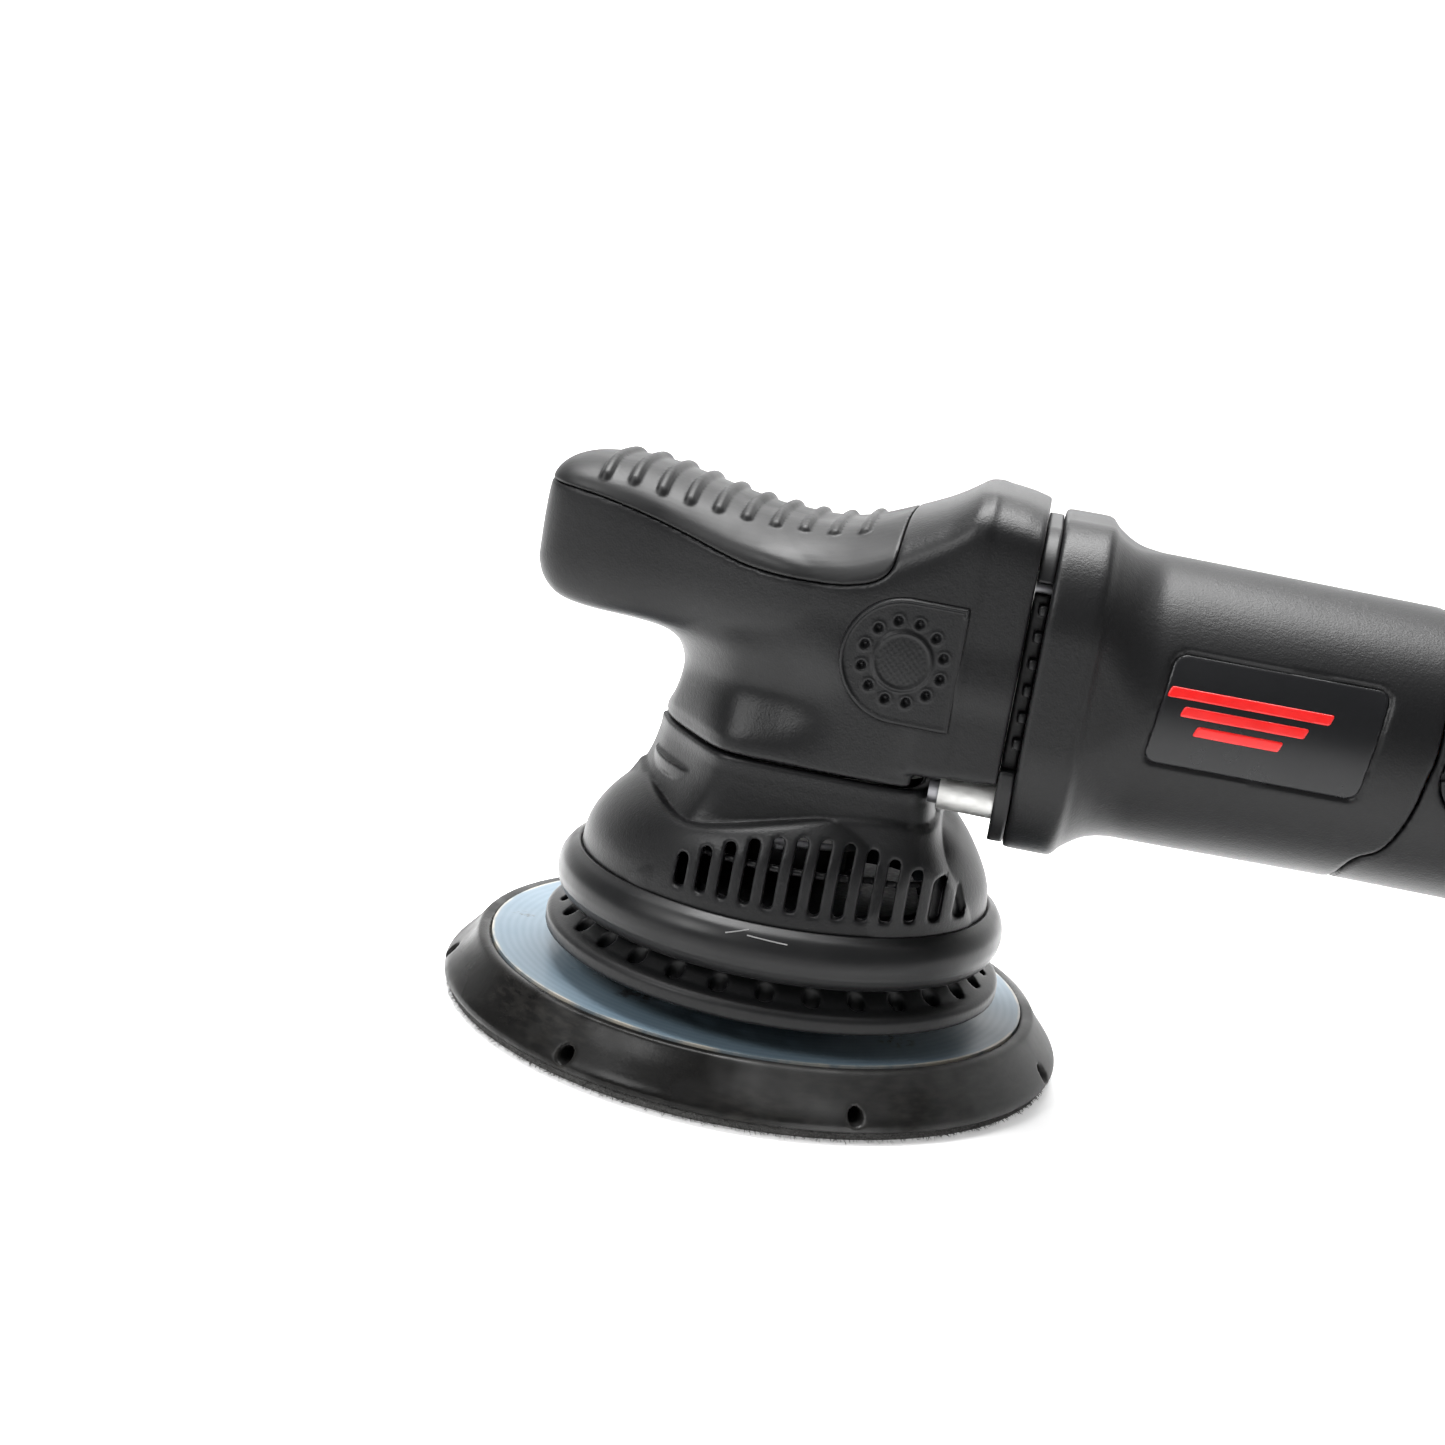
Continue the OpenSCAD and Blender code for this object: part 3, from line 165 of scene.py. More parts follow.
def curve(points, steps=8):
    """Catmull-Rom curve through the points, ends kept."""
    p = np.array(points, float)
    padded = np.vstack([p[:1], p, p[-1:]])
    t = np.linspace(0, 1, steps, endpoint=False)[:, None]
    out = []
    for a, b, c, d in zip(padded, padded[1:], padded[2:], padded[3:]):
        out.append(b + 0.5 * t * ((c - a) + t * ((2 * a - 5 * b + 4 * c - d) + t * (3 * (b - c) + d - a))))
    out.append(p[-1:])
    return np.vstack(out)


def outline(points, u, v):
    """Signed distance to a closed outline, on the grid of u by v."""
    u, v = np.broadcast_arrays(u, v)
    best = np.full(u.shape, np.inf)
    inside = np.zeros(u.shape, bool)
    ends = np.roll(points, -1, axis=0)
    for (ax, ay), (bx, by) in zip(points, ends):
        ex, ey = bx - ax, by - ay
        length = ex * ex + ey * ey
        if length < 1e-12:
            continue
        t = np.clip(((u - ax) * ex + (v - ay) * ey) / length, 0, 1)
        best = np.minimum(best, (u - ax - t * ex) ** 2 + (v - ay - t * ey) ** 2)
        if ay != by:
            crosses = (ay > v) != (by > v)
            inside ^= crosses & (u < ax + (v - ay) * ex / ey)
    return np.where(inside, -1, 1) * np.sqrt(best)


def smooth_max(a, b, k):
    h = np.clip(0.5 + 0.5 * (a - b) / k, 0, 1)
    return b + (a - b) * h + k * h * (1 - h)


def smooth_min(a, b, k):
    return -smooth_max(-a, -b, k)


def box_2d(u, v, half_u, half_v, round_r=0.0):
    qu = np.abs(u) - half_u + round_r
    qv = np.abs(v) - half_v + round_r
    return np.hypot(np.maximum(qu, 0), np.maximum(qv, 0)) + np.minimum(np.maximum(qu, qv), 0) - round_r


def step_up(x, centre, width):
    """0 to 1 over width, smooth at both ends."""
    t = np.clip((x - centre) / width + 0.5, 0, 1)
    return t * t * (3 - 2 * t)


class Grid:
    def __init__(self, low, high, step):
        self.low = np.array(low, float)
        self.step = step
        axes = [np.arange(a - 2 * step, b + 3 * step, step) for a, b in zip(low, high)]
        self.low = np.array([a[0] for a in axes])
        self.x = axes[0][:, None, None]
        self.y = axes[1][None, :, None]
        self.z = axes[2][None, None, :]
        self.shape = tuple(len(a) for a in axes)

    def full(self, field):
        return np.broadcast_to(field, self.shape)

    def lathe(self, profile, centre=(0, 0)):
        """Field of a profile in radius and height turned about a vertical axis."""
        radii = np.arange(0, np.hypot(self.shape[0], self.shape[1]) * self.step, self.step / 2)
        table = outline(profile, radii[:, None], self.z[0, 0][None, :])
        r = np.hypot(self.x - centre[0], self.y - centre[1])[:, :, 0]
        at = np.clip(r / (self.step / 2), 0, len(radii) - 1.001)
        low = at.astype(int)
        part = (at - low)[:, :, None]
        return table[low] * (1 - part) + table[low + 1] * part


def sample(field, places):
    """Field between grid points, places in grid steps."""
    top = np.array(field.shape) - 1.001
    places = np.clip(places, 0, top)
    low = places.astype(int)
    f = places - low
    i, j, k = low.T
    out = 0
    for di in (0, 1):
        for dj in (0, 1):
            for dk in (0, 1):
                weight = (
                    (f[:, 0] if di else 1 - f[:, 0])
                    * (f[:, 1] if dj else 1 - f[:, 1])
                    * (f[:, 2] if dk else 1 - f[:, 2])
                )
                out = out + weight * field[i + di, j + dj, k + dk]
    return out


def surface_net(field):
    """Quad mesh of the field's zero level, in grid steps."""
    nx, ny, nz = field.shape
    sign = field < 0
    total = np.zeros((nx - 1, ny - 1, nz - 1, 3), np.float32)
    count = np.zeros((nx - 1, ny - 1, nz - 1), np.int8)
    corner = [(0, 0), (0, 1), (1, 0), (1, 1)]
    for axis in range(3):
        others = [a for a in range(3) if a != axis]
        one = [slice(None)] * 3
        two = [slice(None)] * 3
        one[axis] = slice(0, -1)
        two[axis] = slice(1, None)
        a, b = field[tuple(one)], field[tuple(two)]
        cross = sign[tuple(one)] != sign[tuple(two)]
        t = np.where(cross, a / np.where(a == b, 1, a - b), 0)
        for du, dv in corner:
            pick = [slice(None)] * 3
            pick[others[0]] = slice(du, field.shape[others[0]] - 1 + du)
            pick[others[1]] = slice(dv, field.shape[others[1]] - 1 + dv)
            c = cross[tuple(pick)]
            total[..., axis] += np.where(c, t[tuple(pick)], 0)
            total[..., others[0]] += np.where(c, du, 0)
            total[..., others[1]] += np.where(c, dv, 0)
            count += c
    active = np.argwhere(count > 0)
    index = np.full(count.shape, -1, np.int64)
    index[tuple(active.T)] = np.arange(len(active))
    verts = active + total[tuple(active.T)] / count[tuple(active.T)][:, None]
    quads = []
    for axis in range(3):
        u, v = [(1, 2), (2, 0), (0, 1)][axis]
        one = [slice(1, -1)] * 3
        two = [slice(1, -1)] * 3
        one[axis] = slice(0, -1)
        two[axis] = slice(1, None)
        edge = sign[tuple(one)] != sign[tuple(two)]
        where = np.argwhere(edge)
        out_side = sign[tuple(one)][edge]
        base = where.copy()
        for other in (u, v):
            base[:, other] += 1
        ring = []
        for du, dv in ((0, 0), (1, 0), (1, 1), (0, 1)):
            cell = base.copy()
            cell[:, u] -= 1 - du
            cell[:, v] -= 1 - dv
            ring.append(index[tuple(cell.T)])
        ring = np.stack(ring, 1)
        ring[~out_side] = ring[~out_side][:, ::-1]
        quads.append(ring)
    return verts, np.vstack(quads)


def settle(verts, quads, field, rounds=3):
    """Evens the net out and pulls it back onto the surface."""
    edges = np.vstack([quads[:, [0, 1]], quads[:, [1, 2]], quads[:, [2, 3]], quads[:, [3, 0]]])
    gradient = [np.gradient(field, axis=a) for a in range(3)]
    degree = np.bincount(edges.ravel(), minlength=len(verts))[:, None]
    for _ in range(rounds):
        mean = np.zeros_like(verts)
        for a in range(3):
            mean[:, a] = (
                np.bincount(edges[:, 0], verts[edges[:, 1], a], len(verts))
                + np.bincount(edges[:, 1], verts[edges[:, 0], a], len(verts))
            )
        verts = verts + 0.5 * (mean / degree - verts)
        for _ in range(2):
            g = np.stack([sample(part, verts) for part in gradient], 1)
            value = sample(field, verts)
            move = -value[:, None] * g / np.maximum((g * g).sum(1), 0.05)[:, None]
            verts = verts + np.clip(move, -0.6, 0.6)
    return verts


def mesh_object(name, verts, faces):
    mesh = bpy.data.meshes.new(name)
    mesh.vertices.add(len(verts))
    mesh.vertices.foreach_set("co", np.asarray(verts, np.float32).ravel())
    sizes = np.full(len(faces), faces.shape[1])
    mesh.loops.add(faces.size)
    mesh.loops.foreach_set("vertex_index", faces.ravel().astype(np.int32))
    mesh.polygons.add(len(faces))
    mesh.polygons.foreach_set("loop_start", (np.arange(len(faces)) * faces.shape[1]).astype(np.int32))
    mesh.polygons.foreach_set("use_smooth", np.ones(len(sizes), bool))
    mesh.update(calc_edges=True)
    mesh.validate()
    obj = bpy.data.objects.new(name, mesh)
    bpy.context.scene.collection.objects.link(obj)
    return obj


def field_object(name, grid, field, rounds=3):
    field = np.ascontiguousarray(grid.full(field), dtype=np.float32)
    verts, quads = surface_net(field)
    verts = settle(verts, quads, field / grid.step, rounds)
    return mesh_object(name, (grid.low + verts * grid.step) * MM, quads)


def finish_piece(obj, body, slot, material, *nodes):
    obj.data.materials.clear()
    obj.data.materials.append(material)
    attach(obj, body)
    if nodes:
        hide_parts(*nodes)
    return obj


# ---- materials ------------------------------------------------------------------


class Paint:
    """A node material under construction."""

    def __init__(self, name, colour, roughness, metallic=0.0, specular=0.5):
        self.material = bpy.data.materials.new(name)
        self.material.use_nodes = True
        self.tree = self.material.node_tree
        self.shader = self.tree.nodes["Principled BSDF"]
        self.shader.inputs["Base Color"].default_value = (*colour, 1)
        self.shader.inputs["Roughness"].default_value = roughness
        self.shader.inputs["Metallic"].default_value = metallic
        self.shader.inputs["Specular IOR Level"].default_value = specular
        self.colour = colour
        self.roughness = roughness
        self.place = self.add("ShaderNodeTexCoord").outputs["Object"]

    def add(self, kind, **settings):
        node = self.tree.nodes.new(kind)
        for key, value in settings.items():
            setattr(node, key, value)
        return node

    def link(self, a, b):
        self.tree.links.new(a, b)

    def noise(self, scale, detail=3.0, stretch=None, rough=0.5):
        place = self.place
        if stretch:
            mapping = self.add("ShaderNodeMapping")
            mapping.inputs["Scale"].default_value = stretch
            self.link(place, mapping.inputs["Vector"])
            place = mapping.outputs["Vector"]
        node = self.add("ShaderNodeTexNoise")
        node.inputs["Scale"].default_value = scale
        node.inputs["Detail"].default_value = detail
        node.inputs["Roughness"].default_value = rough
        self.link(place, node.inputs["Vector"])
        return node.outputs["Fac"]

    def ramp(self, source, stops):
        node = self.add("ShaderNodeValToRGB")
        ramp = node.color_ramp
        while len(ramp.elements) < len(stops):
            ramp.elements.new(0.5)
        for element, (place, colour) in zip(ramp.elements, stops):
            element.position = place
            element.color = (*colour, 1) if len(colour) == 3 else (colour[0],) * 3 + (1,)
        self.link(source, node.inputs["Fac"])
        return node.outputs["Color"]

    def range(self, source, low, high, to_low, to_high):
        node = self.add("ShaderNodeMapRange")
        for key, value in zip(("From Min", "From Max", "To Min", "To Max"), (low, high, to_low, to_high)):
            node.inputs[key].default_value = value
        self.link(source, node.inputs["Value"])
        return node.outputs["Result"]

    def mix(self, factor, a, b):
        node = self.add("ShaderNodeMix", data_type="RGBA")
        self.link(factor, node.inputs["Factor"])
        for socket, value in ((node.inputs[6], a), (node.inputs[7], b)):
            if isinstance(value, tuple):
                socket.default_value = (*value, 1)
            else:
                self.link(value, socket)
        return node.outputs[2]

    def maths(self, operation, a, b):
        node = self.add("ShaderNodeMath", operation=operation)
        for socket, value in zip(node.inputs, (a, b)):
            if isinstance(value, (int, float)):
                socket.default_value = value
            else:
                self.link(value, socket)
        return node.outputs[0]

    def edge(self, low, high):
        """1 on outward edges, 0 on flats."""
        geometry = self.add("ShaderNodeNewGeometry")
        return self.range(geometry.outputs["Pointiness"], low, high, 0, 1)

    def set_colour(self, socket):
        self.link(socket, self.shader.inputs["Base Color"])

    def set_roughness(self, socket):
        self.link(socket, self.shader.inputs["Roughness"])

    def bump(self, height, distance, strength=1.0, under=None):
        node = self.add("ShaderNodeBump")
        node.inputs["Distance"].default_value = distance
        node.inputs["Strength"].default_value = strength
        self.link(height, node.inputs["Height"])
        if under:
            self.link(under, node.inputs["Normal"])
        self.link(node.outputs["Normal"], self.shader.inputs["Normal"])
        return node.outputs["Normal"]


def moulded_plastic(name, colour, roughness, grain, grain_height, wear=0.5):
    """Black moulding: fine spark-eroded grain, faint handling marks, lighter worn edges."""
    paint = Paint(name, colour, roughness, specular=0.22)
    fine = paint.noise(grain, 2.0)
    blotch = paint.noise(28, 4.0)
    tint = paint.mix(blotch, tuple(c * 0.86 for c in colour), tuple(c * 1.16 for c in colour))
    worn = tuple(min(1, c * 2.1 + 0.012) for c in colour)
    edge = paint.maths("MULTIPLY", paint.edge(0.53, 0.62), paint.range(blotch, 0.35, 0.7, 0.1 * wear, wear))
    paint.set_colour(paint.mix(edge, tint, worn))
    smear = paint.noise(11, 5.0)
    paint.set_roughness(paint.range(smear, 0.3, 0.7, roughness - 0.06, roughness + 0.07))
    low = paint.bump(paint.noise(grain * 0.33, 2.0), grain_height * 1.3, 0.5)
    paint.bump(fine, grain_height, 0.8, low)
    return paint.material


def soft_rubber(name, colour, roughness):
    """Elastomer: smoother than the mouldings, with dust in the grain and small scuffs."""
    paint = Paint(name, colour, roughness, specular=0.22)
    cloud = paint.noise(22, 5.0)
    paint.set_colour(paint.mix(cloud, tuple(c * 0.85 for c in colour),
        tuple(c * 1.2 + 0.002 for c in colour)))
    paint.set_roughness(paint.range(paint.noise(60, 4.0), 0.3, 0.7, roughness - 0.08, roughness + 0.1))
    low = paint.bump(paint.noise(900, 3.0), 0.00004, 0.35)
    paint.bump(paint.noise(5200, 2.0), 0.00002, 0.5, low)
    return paint.material


def cast_metal(name, colour, roughness):
    """Die casting blasted to a fine matt skin, with flow marks."""
    paint = Paint(name, colour, roughness, metallic=1.0)
    flow = paint.noise(70, 6.0)
    tint = paint.mix(flow, tuple(c * 0.72 for c in colour), colour)
    edge = paint.edge(0.52, 0.6)
    paint.set_colour(paint.mix(edge, tint, tuple(min(1, c * 1.25) for c in colour)))
    paint.set_roughness(paint.range(paint.noise(350, 3.0), 0.3, 0.7, roughness - 0.1, roughness + 0.12))
    paint.bump(paint.noise(2600, 3.0), 0.00006, 0.6)
    return paint.material


def turned_metal(name, colour, roughness, metallic=1.0):
    """Machined or plated steel: fine drawn lines and a few stains."""
    paint = Paint(name, colour, roughness, metallic=metallic)
    stain = paint.noise(120, 5.0)
    paint.set_colour(paint.mix(stain, tuple(c * 0.8 for c in colour), colour))
    drawn = paint.noise(900, 2.0, (1, 1, 14))
    paint.set_roughness(paint.range(drawn, 0.3, 0.7, roughness - 0.07, roughness + 0.1))
    paint.bump(paint.noise(700, 2.0, (1, 1, 18)), 0.00001, 0.4)
    return paint.material


housing_plastic = moulded_plastic("housing_plastic", (0.0044, 0.0045, 0.0049), 0.42, 2300, 0.00007)
trim_plastic = moulded_plastic("trim_plastic", (0.0048, 0.0049, 0.0053), 0.42, 3000, 0.00003)
inner_plastic = moulded_plastic("inner_plastic", (0.045, 0.047, 0.05), 0.5, 1800, 0.00005, 0.2)
grip_rubber = soft_rubber("grip_rubber", (0.0056, 0.0057, 0.006), 0.46)
bumper_rubber = soft_rubber("bumper_rubber", (0.0055, 0.0056, 0.006), 0.36)
cast_alloy = cast_metal("cast_alloy", (0.42, 0.42, 0.41), 0.5)
bright_steel = turned_metal("bright_steel", (0.72, 0.72, 0.73), 0.22)
dark_steel = turned_metal("dark_steel", (0.20, 0.20, 0.21), 0.4)
# painted shade: this near-black iron colour stands in for the shade inside the shroud, so the hub and
# counterweight seen through the slots read dark
shade_darkened_iron = turned_metal("shade_darkened_iron", (0.055, 0.055, 0.058), 0.6)

# ---- head ------------------------------------------------------------------------

STEP = 0.7
CREST_X = 33
RIB_N = 10
RIB_X = (-52, 6.5)
RIB_HALF = 21.5


def squircle(a, b, power, steps=60):
    t = np.linspace(0, 2 * np.pi, steps, endpoint=False)
    c, s = np.cos(t), np.sin(t)
    return np.stack([a * np.sign(c) * np.abs(c) ** (2 / power),
        b * np.sign(s) * np.abs(s) ** (2 / power)], 1)


def mirrored(points):
    """Closed outline from the half with y above 0."""
    p = np.array(points, float)
    return np.vstack([p, (p * [1, -1])[::-1]])


def head_crest():
    """Top line of the head from the nose back to the motor, a little proud of its rounded skin."""
    top = HEAD_HIGH[2]
    line = curve([
        (-69.4, 104), (-69.2, 116), (-67.4, 124.4), (-62.5, 129.4), (-54, 131.2), (-45, 131.2),
        (-35, 129.3), (-25.4, 127.2), (-15.6, 125.3), (-6, 124.5), (2, 125.2), (9, 127.3), (18, 131.3),
        (25, 135),
        (30.5, top + 0.3),
    ])
    return np.vstack([line,
        [(CREST_X + 0.4, top + 0.9), (HEAD_END - 4, top - 0.2), (HEAD_END + 12, top - 4.2)]])


def head_side_outline():
    foot = np.vstack([
        [(HEAD_END + 12, 76.3), (27, 76.3), (25, NECK_Z - 12), (-34.5, NECK_Z - 12)],
        curve([(-34.5, NECK_Z + 0.6), (-34.2, 75.4), (-32.6, 78.5), (-31.8, 83), (-32.8, 88.2),
            (-36.4, 92.2),
               (-42, 93.8), (-52, 94.8), (-60, 97), (-66.2, 100.5)]),
    ])
    return np.vstack([head_crest(), foot])


def nose_plan_outline():
    a = 27.4
    return mirrored(np.vstack([
        [(HEAD_END, a + 8.6)],
        curve([(6, a + 8.5), (-6, a + 7.4), (-18, a + 4.1), (-30, a + 1.4), (-42, a + 0.2), (-52, a - 1.6),
               (-62, a - 6), (-67.6, a - 14.5), (-69.3, 0.4)]),
    ]))


def block_plan_outline(scooped):
    """Plan of the block over the neck; scooped is the hollow-sided one, low down."""
    a = HEAD_HIGH[1]
    back = [(HEAD_END + 12, a - 1.2), (CREST_X + 1, a)]
    if scooped:
        front = [(24, a), (13, a), (8, a - 0.9), (3, a - 2.8), (-3, a - 4.8), (-10, a - 6.2),
            (-16, a - 8.4),
                 (-22, a - 14.5), (-28, a - 24), (-32, 0.4)]
    else:
        front = [(24, a), (12, a), (5, a - 0.8), (-2, a - 3.5), (-8, a - 9), (-12, a - 17),
            (-14, a - 26), (-15, 0.4)]
    return mirrored(np.vstack([back, curve(front)]))


def foot_plan_outline():
    """Egg shape of the head's foot, where it meets the shroud."""
    return mirrored(curve([
        (31, 0.4), (31.5, 20), (29, 31), (22, 35.7), (8, 36.4), (-6, 35.9), (-13.5, 34.4), (-17.8, 31),
        (-23.5, 23),
        (-30.8, 11), (-34.6, 0.4),
    ]))


def badge_place():
    return 20.5, MOTOR_Z + 3.5


def domed(g, half, depth, power):
    """Upright-sided section whose domed top follows the crest line."""
    top = squircle(half, depth, power, 80)
    top = top[top[:, 1] > 0] - [0, depth]
    shape = np.vstack([[(half, -120)], top, [(-half, -120)]])
    step = 0.5
    drops = np.arange(-70, 24, step)
    table = outline(shape, g.y[0], drops[None, :])
    crest = head_crest()
    drop = g.z - np.interp(g.x, crest[:, 0], crest[:, 1])
    at = np.clip((drop - drops[0]) / step, 0, len(drops) - 1.001)
    low = at.astype(int)
    row = np.arange(g.shape[1])[None, :, None]
    return table[row, low] * (1 - at + low) + table[row, low + 1] * (at - low)


def head_field(g):
    side = outline(head_side_outline(), g.x[:, 0, :], g.z[0])[:, None, :]
    nose_plan = outline(nose_plan_outline(), g.x[:, :, 0], g.y[:, :, 0])[:, :, None]
    spread = step_up(g.x, -22, 34)
    slim = outline(squircle(28.0, 20.5, 3.0), g.y[0], g.z[0] - 113.4)[None]
    broad = outline(squircle(36.4, 20.5, 3.4), g.y[0], g.z[0] - 113.4)[None]
    nose_front = slim * (1 - spread) + broad * spread
    full_plan = outline(block_plan_outline(False), g.x[:, :, 0], g.y[:, :, 0])[:, :, None]
    low_plan = outline(block_plan_outline(True), g.x[:, :, 0], g.y[:, :, 0])[:, :, None]
    foot_plan = outline(foot_plan_outline(), g.x[:, :, 0], g.y[:, :, 0])[:, :, None]
    high = step_up(g.z + 0.15 * g.x, 100, 15)
    block_plan = low_plan * (1 - high) + full_plan * high
    over_foot = np.maximum(step_up(g.z, 81, 15), step_up(g.x, 25, 5))
    block_plan = block_plan * over_foot + foot_plan * (1 - over_foot)
    back = step_up(g.x, 22, 18)
    dome = domed(g, 36.2, 17, 2.4) * (1 - back) + domed(g, 36.2, 20, 3.4) * back
    nose = smooth_max(smooth_max(side, nose_front, 6), nose_plan, 7)
    nose_dome = domed(g, 27.8, 17, 2.4) * (1 - spread) + dome * spread
    nose = smooth_max(nose, nose_dome, 1.5)
    block = smooth_max(smooth_max(side, dome, 1.5), block_plan, 2.5)
    field = smooth_min(nose, block, 9 - 7.8 * step_up(g.z + 0 * g.x, 101, 14))
    under = foot_plan - np.maximum(0, g.z - (NECK_Z + 3.1)) * 12 + 0 * g.x
    field = smooth_max(field, under, 1.0)
    # collar behind the crest sits a little lower
    field = field + 0.45 * step_up(g.x, CREST_X + 0.9, 1.6)
    field = smooth_max(field, NECK_Z + 0.3 - g.z, 0.8)
    field = smooth_max(field, g.z - HEAD_HIGH[2] + 0.3, 0.8)
    return smooth_max(field, g.x - HEAD_END + 0.05, 0.8)


def grip_field(g):
    """Zone of the soft grip: above the seam line, ending squarely behind the last rib."""
    seam = curve([
        (-80, 124.2), (-70, 123.8), (-61.7, 123.2), (-52, 122.3), (-42, 120.4), (-31, 117.6), (-22, 115.2),
        (-15.5, 113.9), (-6.7, 113.4), (3, 113.8), (9.6, 115.2), (13, 117), (14.8, 119.6), (15.3, 123),
    ])
    zone = np.vstack([seam, [(15.6, 150), (-80, 150)]])
    return outline(zone, g.x[:, 0, :], g.z[0])[:, None, :]


def head_void(g):
    """Room for the gear case inside, matching the frame."""
    case = 27.9
    void = np.maximum(np.hypot(g.x, g.y) - case, g.z - (MOTOR_Z + 15.3))
    axis = np.maximum(np.hypot(g.y, g.z - MOTOR_Z) - case, -g.x)
    void = np.minimum(void, axis)
    lugs = np.maximum(np.maximum(np.abs(g.y) - 32.9, g.z - (MOTOR_Z + 28.6)), 30 - g.x)
    void = np.minimum(void, lugs)
    nose = np.maximum(np.maximum(np.abs(g.x + 40) - 19, np.abs(g.y) - 17), np.abs(g.z - 110) - 8)
    return np.minimum(void, nose)


def build_head():
    g = Grid((-70, -37, NECK_Z), (HEAD_END + 1, 37, HEAD_HIGH[2] + 1), STEP)
    outer = head_field(g)
    zone = grip_field(g)
    bed = np.maximum(zone, -(outer + 2.6))
    shell = smooth_max(outer, -(bed - 0.08), 0.45)
    shell = np.maximum(shell, -head_void(g))
    cx, cz = badge_place()
    pocket = np.maximum(badge_outline(g.x - cx, g.z - cz) + 0.7, HEAD_HIGH[1] - 1.5 - np.abs(g.y))
    shell = smooth_max(shell, -pocket, 0.1)
    head = field_object("head_shell", g, shell)
    finish_piece(head, "body", "housing_black", housing_plastic, "head_cover")
    # the grip carries round-ended ribs over its crest
    rib_x = np.linspace(*RIB_X, RIB_N)
    fine = Grid((-70, -37, 112), (17, 37, HEAD_HIGH[2] - 4), STEP * 0.68)
    outer = head_field(fine)
    zone = grip_field(fine)
    bars = np.full(fine.shape, 50.0)
    for x in rib_x:
        end = np.maximum(np.abs(fine.y) - RIB_HALF, 0)
        across = np.hypot(np.hypot(fine.x - x, end), np.maximum(outer, -0.4) + 0.1) - 1.3
        bars = np.minimum(bars, across)
    grip = smooth_min(outer - 0.05, bars, 0.25)
    grip = smooth_max(grip, zone + 0.05, 0.5)
    grip = np.maximum(grip, -(outer + 2.4))
    piece = field_object("palm_grip_pad", fine, grip, 2)
    finish_piece(piece, "body", "grip_rubber", grip_rubber, "palm_grip")


BADGE_R = 13.0
BADGE_END = 11.6
DIMPLE_RING = 8.8


def badge_outline(u, w):
    """D shape: round towards the nose, square towards the motor."""
    return smooth_max(np.where(u < 0, np.hypot(u, w), np.abs(w)) - BADGE_R - 0.6, u - BADGE_END - 0.6, 0.5)


def build_badges():
    cx, cz = badge_place()
    side = HEAD_HIGH[1]
    for s, name in ((-1, "side_badge_near"), (1, "side_badge_far")):
        g = Grid((cx - 14.5, -1.7, cz - 14.5), (cx + 13, 1.2, cz + 14.5), 0.27)
        u, w, h = g.x - cx, g.z - cz, g.y
        r = np.hypot(u, w)
        # D outline: arc on the nose side, straight top and bottom lines
        arc = np.where(u < 0, r, np.abs(w)) - BADGE_R
        line = np.hypot(arc, np.maximum(u - BADGE_END, 0))
        side_line = np.hypot(u - BADGE_END, np.maximum(np.abs(w) - BADGE_R, 0))
        hook = np.hypot(u - BADGE_END, np.maximum(np.abs(w - BADGE_R + 0.5) - 0.7, 0))
        fade = 0.12 + 0.88 * step_up(w - 0.4 * u, -BADGE_R * 0.3, 12)
        height = 0.7 * fade * np.clip(1 - (np.minimum(line, hook) / 0.5) ** 2, 0, 1)
        height = np.maximum(height, 0.16 * np.clip(1 - (side_line / 0.4) ** 2, 0, 1))
        rim = 0.55 * np.clip(1 - ((r - 6.0) / 0.75) ** 2, 0, 1)
        knurl = 0.05 * np.sin(u * 4.2) * np.sin(w * 4.2) * (r < 5.2)
        height = height + np.maximum(rim, (0.28 + 0.2 * (1 - (r / 6.0) ** 2)) * (r < 6.0)) + knurl
        turn = np.arctan2(w, u)
        near = np.round((turn - np.pi / 12) / (np.pi / 6)) * np.pi / 6 + np.pi / 12
        d = np.hypot(u - DIMPLE_RING * np.cos(near), w - DIMPLE_RING * np.sin(near))
        height = height + 0.2 * np.exp(-((d - 1.35) / 0.25) ** 2) - 1.0 * (1 - step_up(d, 0.75, 0.9))
        floor = -0.06 + 0 * u
        inside = badge_outline(u, w)
        level = floor + height
        slab = np.maximum(smooth_max(h - level, -(h + 1.2), 0.1), inside)
        piece = field_object(name, g, slab, 2)
        piece.data.transform(Matrix(((1, 0, 0, 0), (0, s, 0, s * side * MM), (0, 0, 1, 0), (0, 0, 0, 1))))
        if s < 0:
            piece.data.flip_normals()
        finish_piece(piece, "body", "housing_black", housing_plastic, "side_badges")


# ---- motor housing -----------------------------------------------------------------

FLANGE_HALF = (MOTOR_HIGH[1] - MOTOR_LOW[1]) / 2


def barrel_field(g):
    sweep = curve([
        (FLANGE_X - 3, FLANGE_HALF), (FLANGE_X + 8.5, FLANGE_HALF), (FLANGE_X + 11, FLANGE_HALF - 0.3),
        (FLANGE_X + 13.2, FLANGE_HALF - 2.4), (FLANGE_X + 17.5, FLANGE_HALF - 4.5), (FLANGE_X + 23, 32.55),
        (FLANGE_X + 30, 32.5), (BARREL_END, 31.5), (BARREL_END + 5, 31.5),
    ])
    half = np.interp(g.x, sweep[:, 0], sweep[:, 1])
    square = 1 - step_up(g.x, FLANGE_X + 17, 16)
    round_r = half - (FLANGE_HALF - np.where(g.z > MOTOR_Z, 24.0, 29.0)) * square
    body = box_2d(g.y, g.z - MOTOR_Z, half, half, round_r)
    return smooth_max(body * 0.93, FLANGE_X + 0.05 - g.x, 1.2)


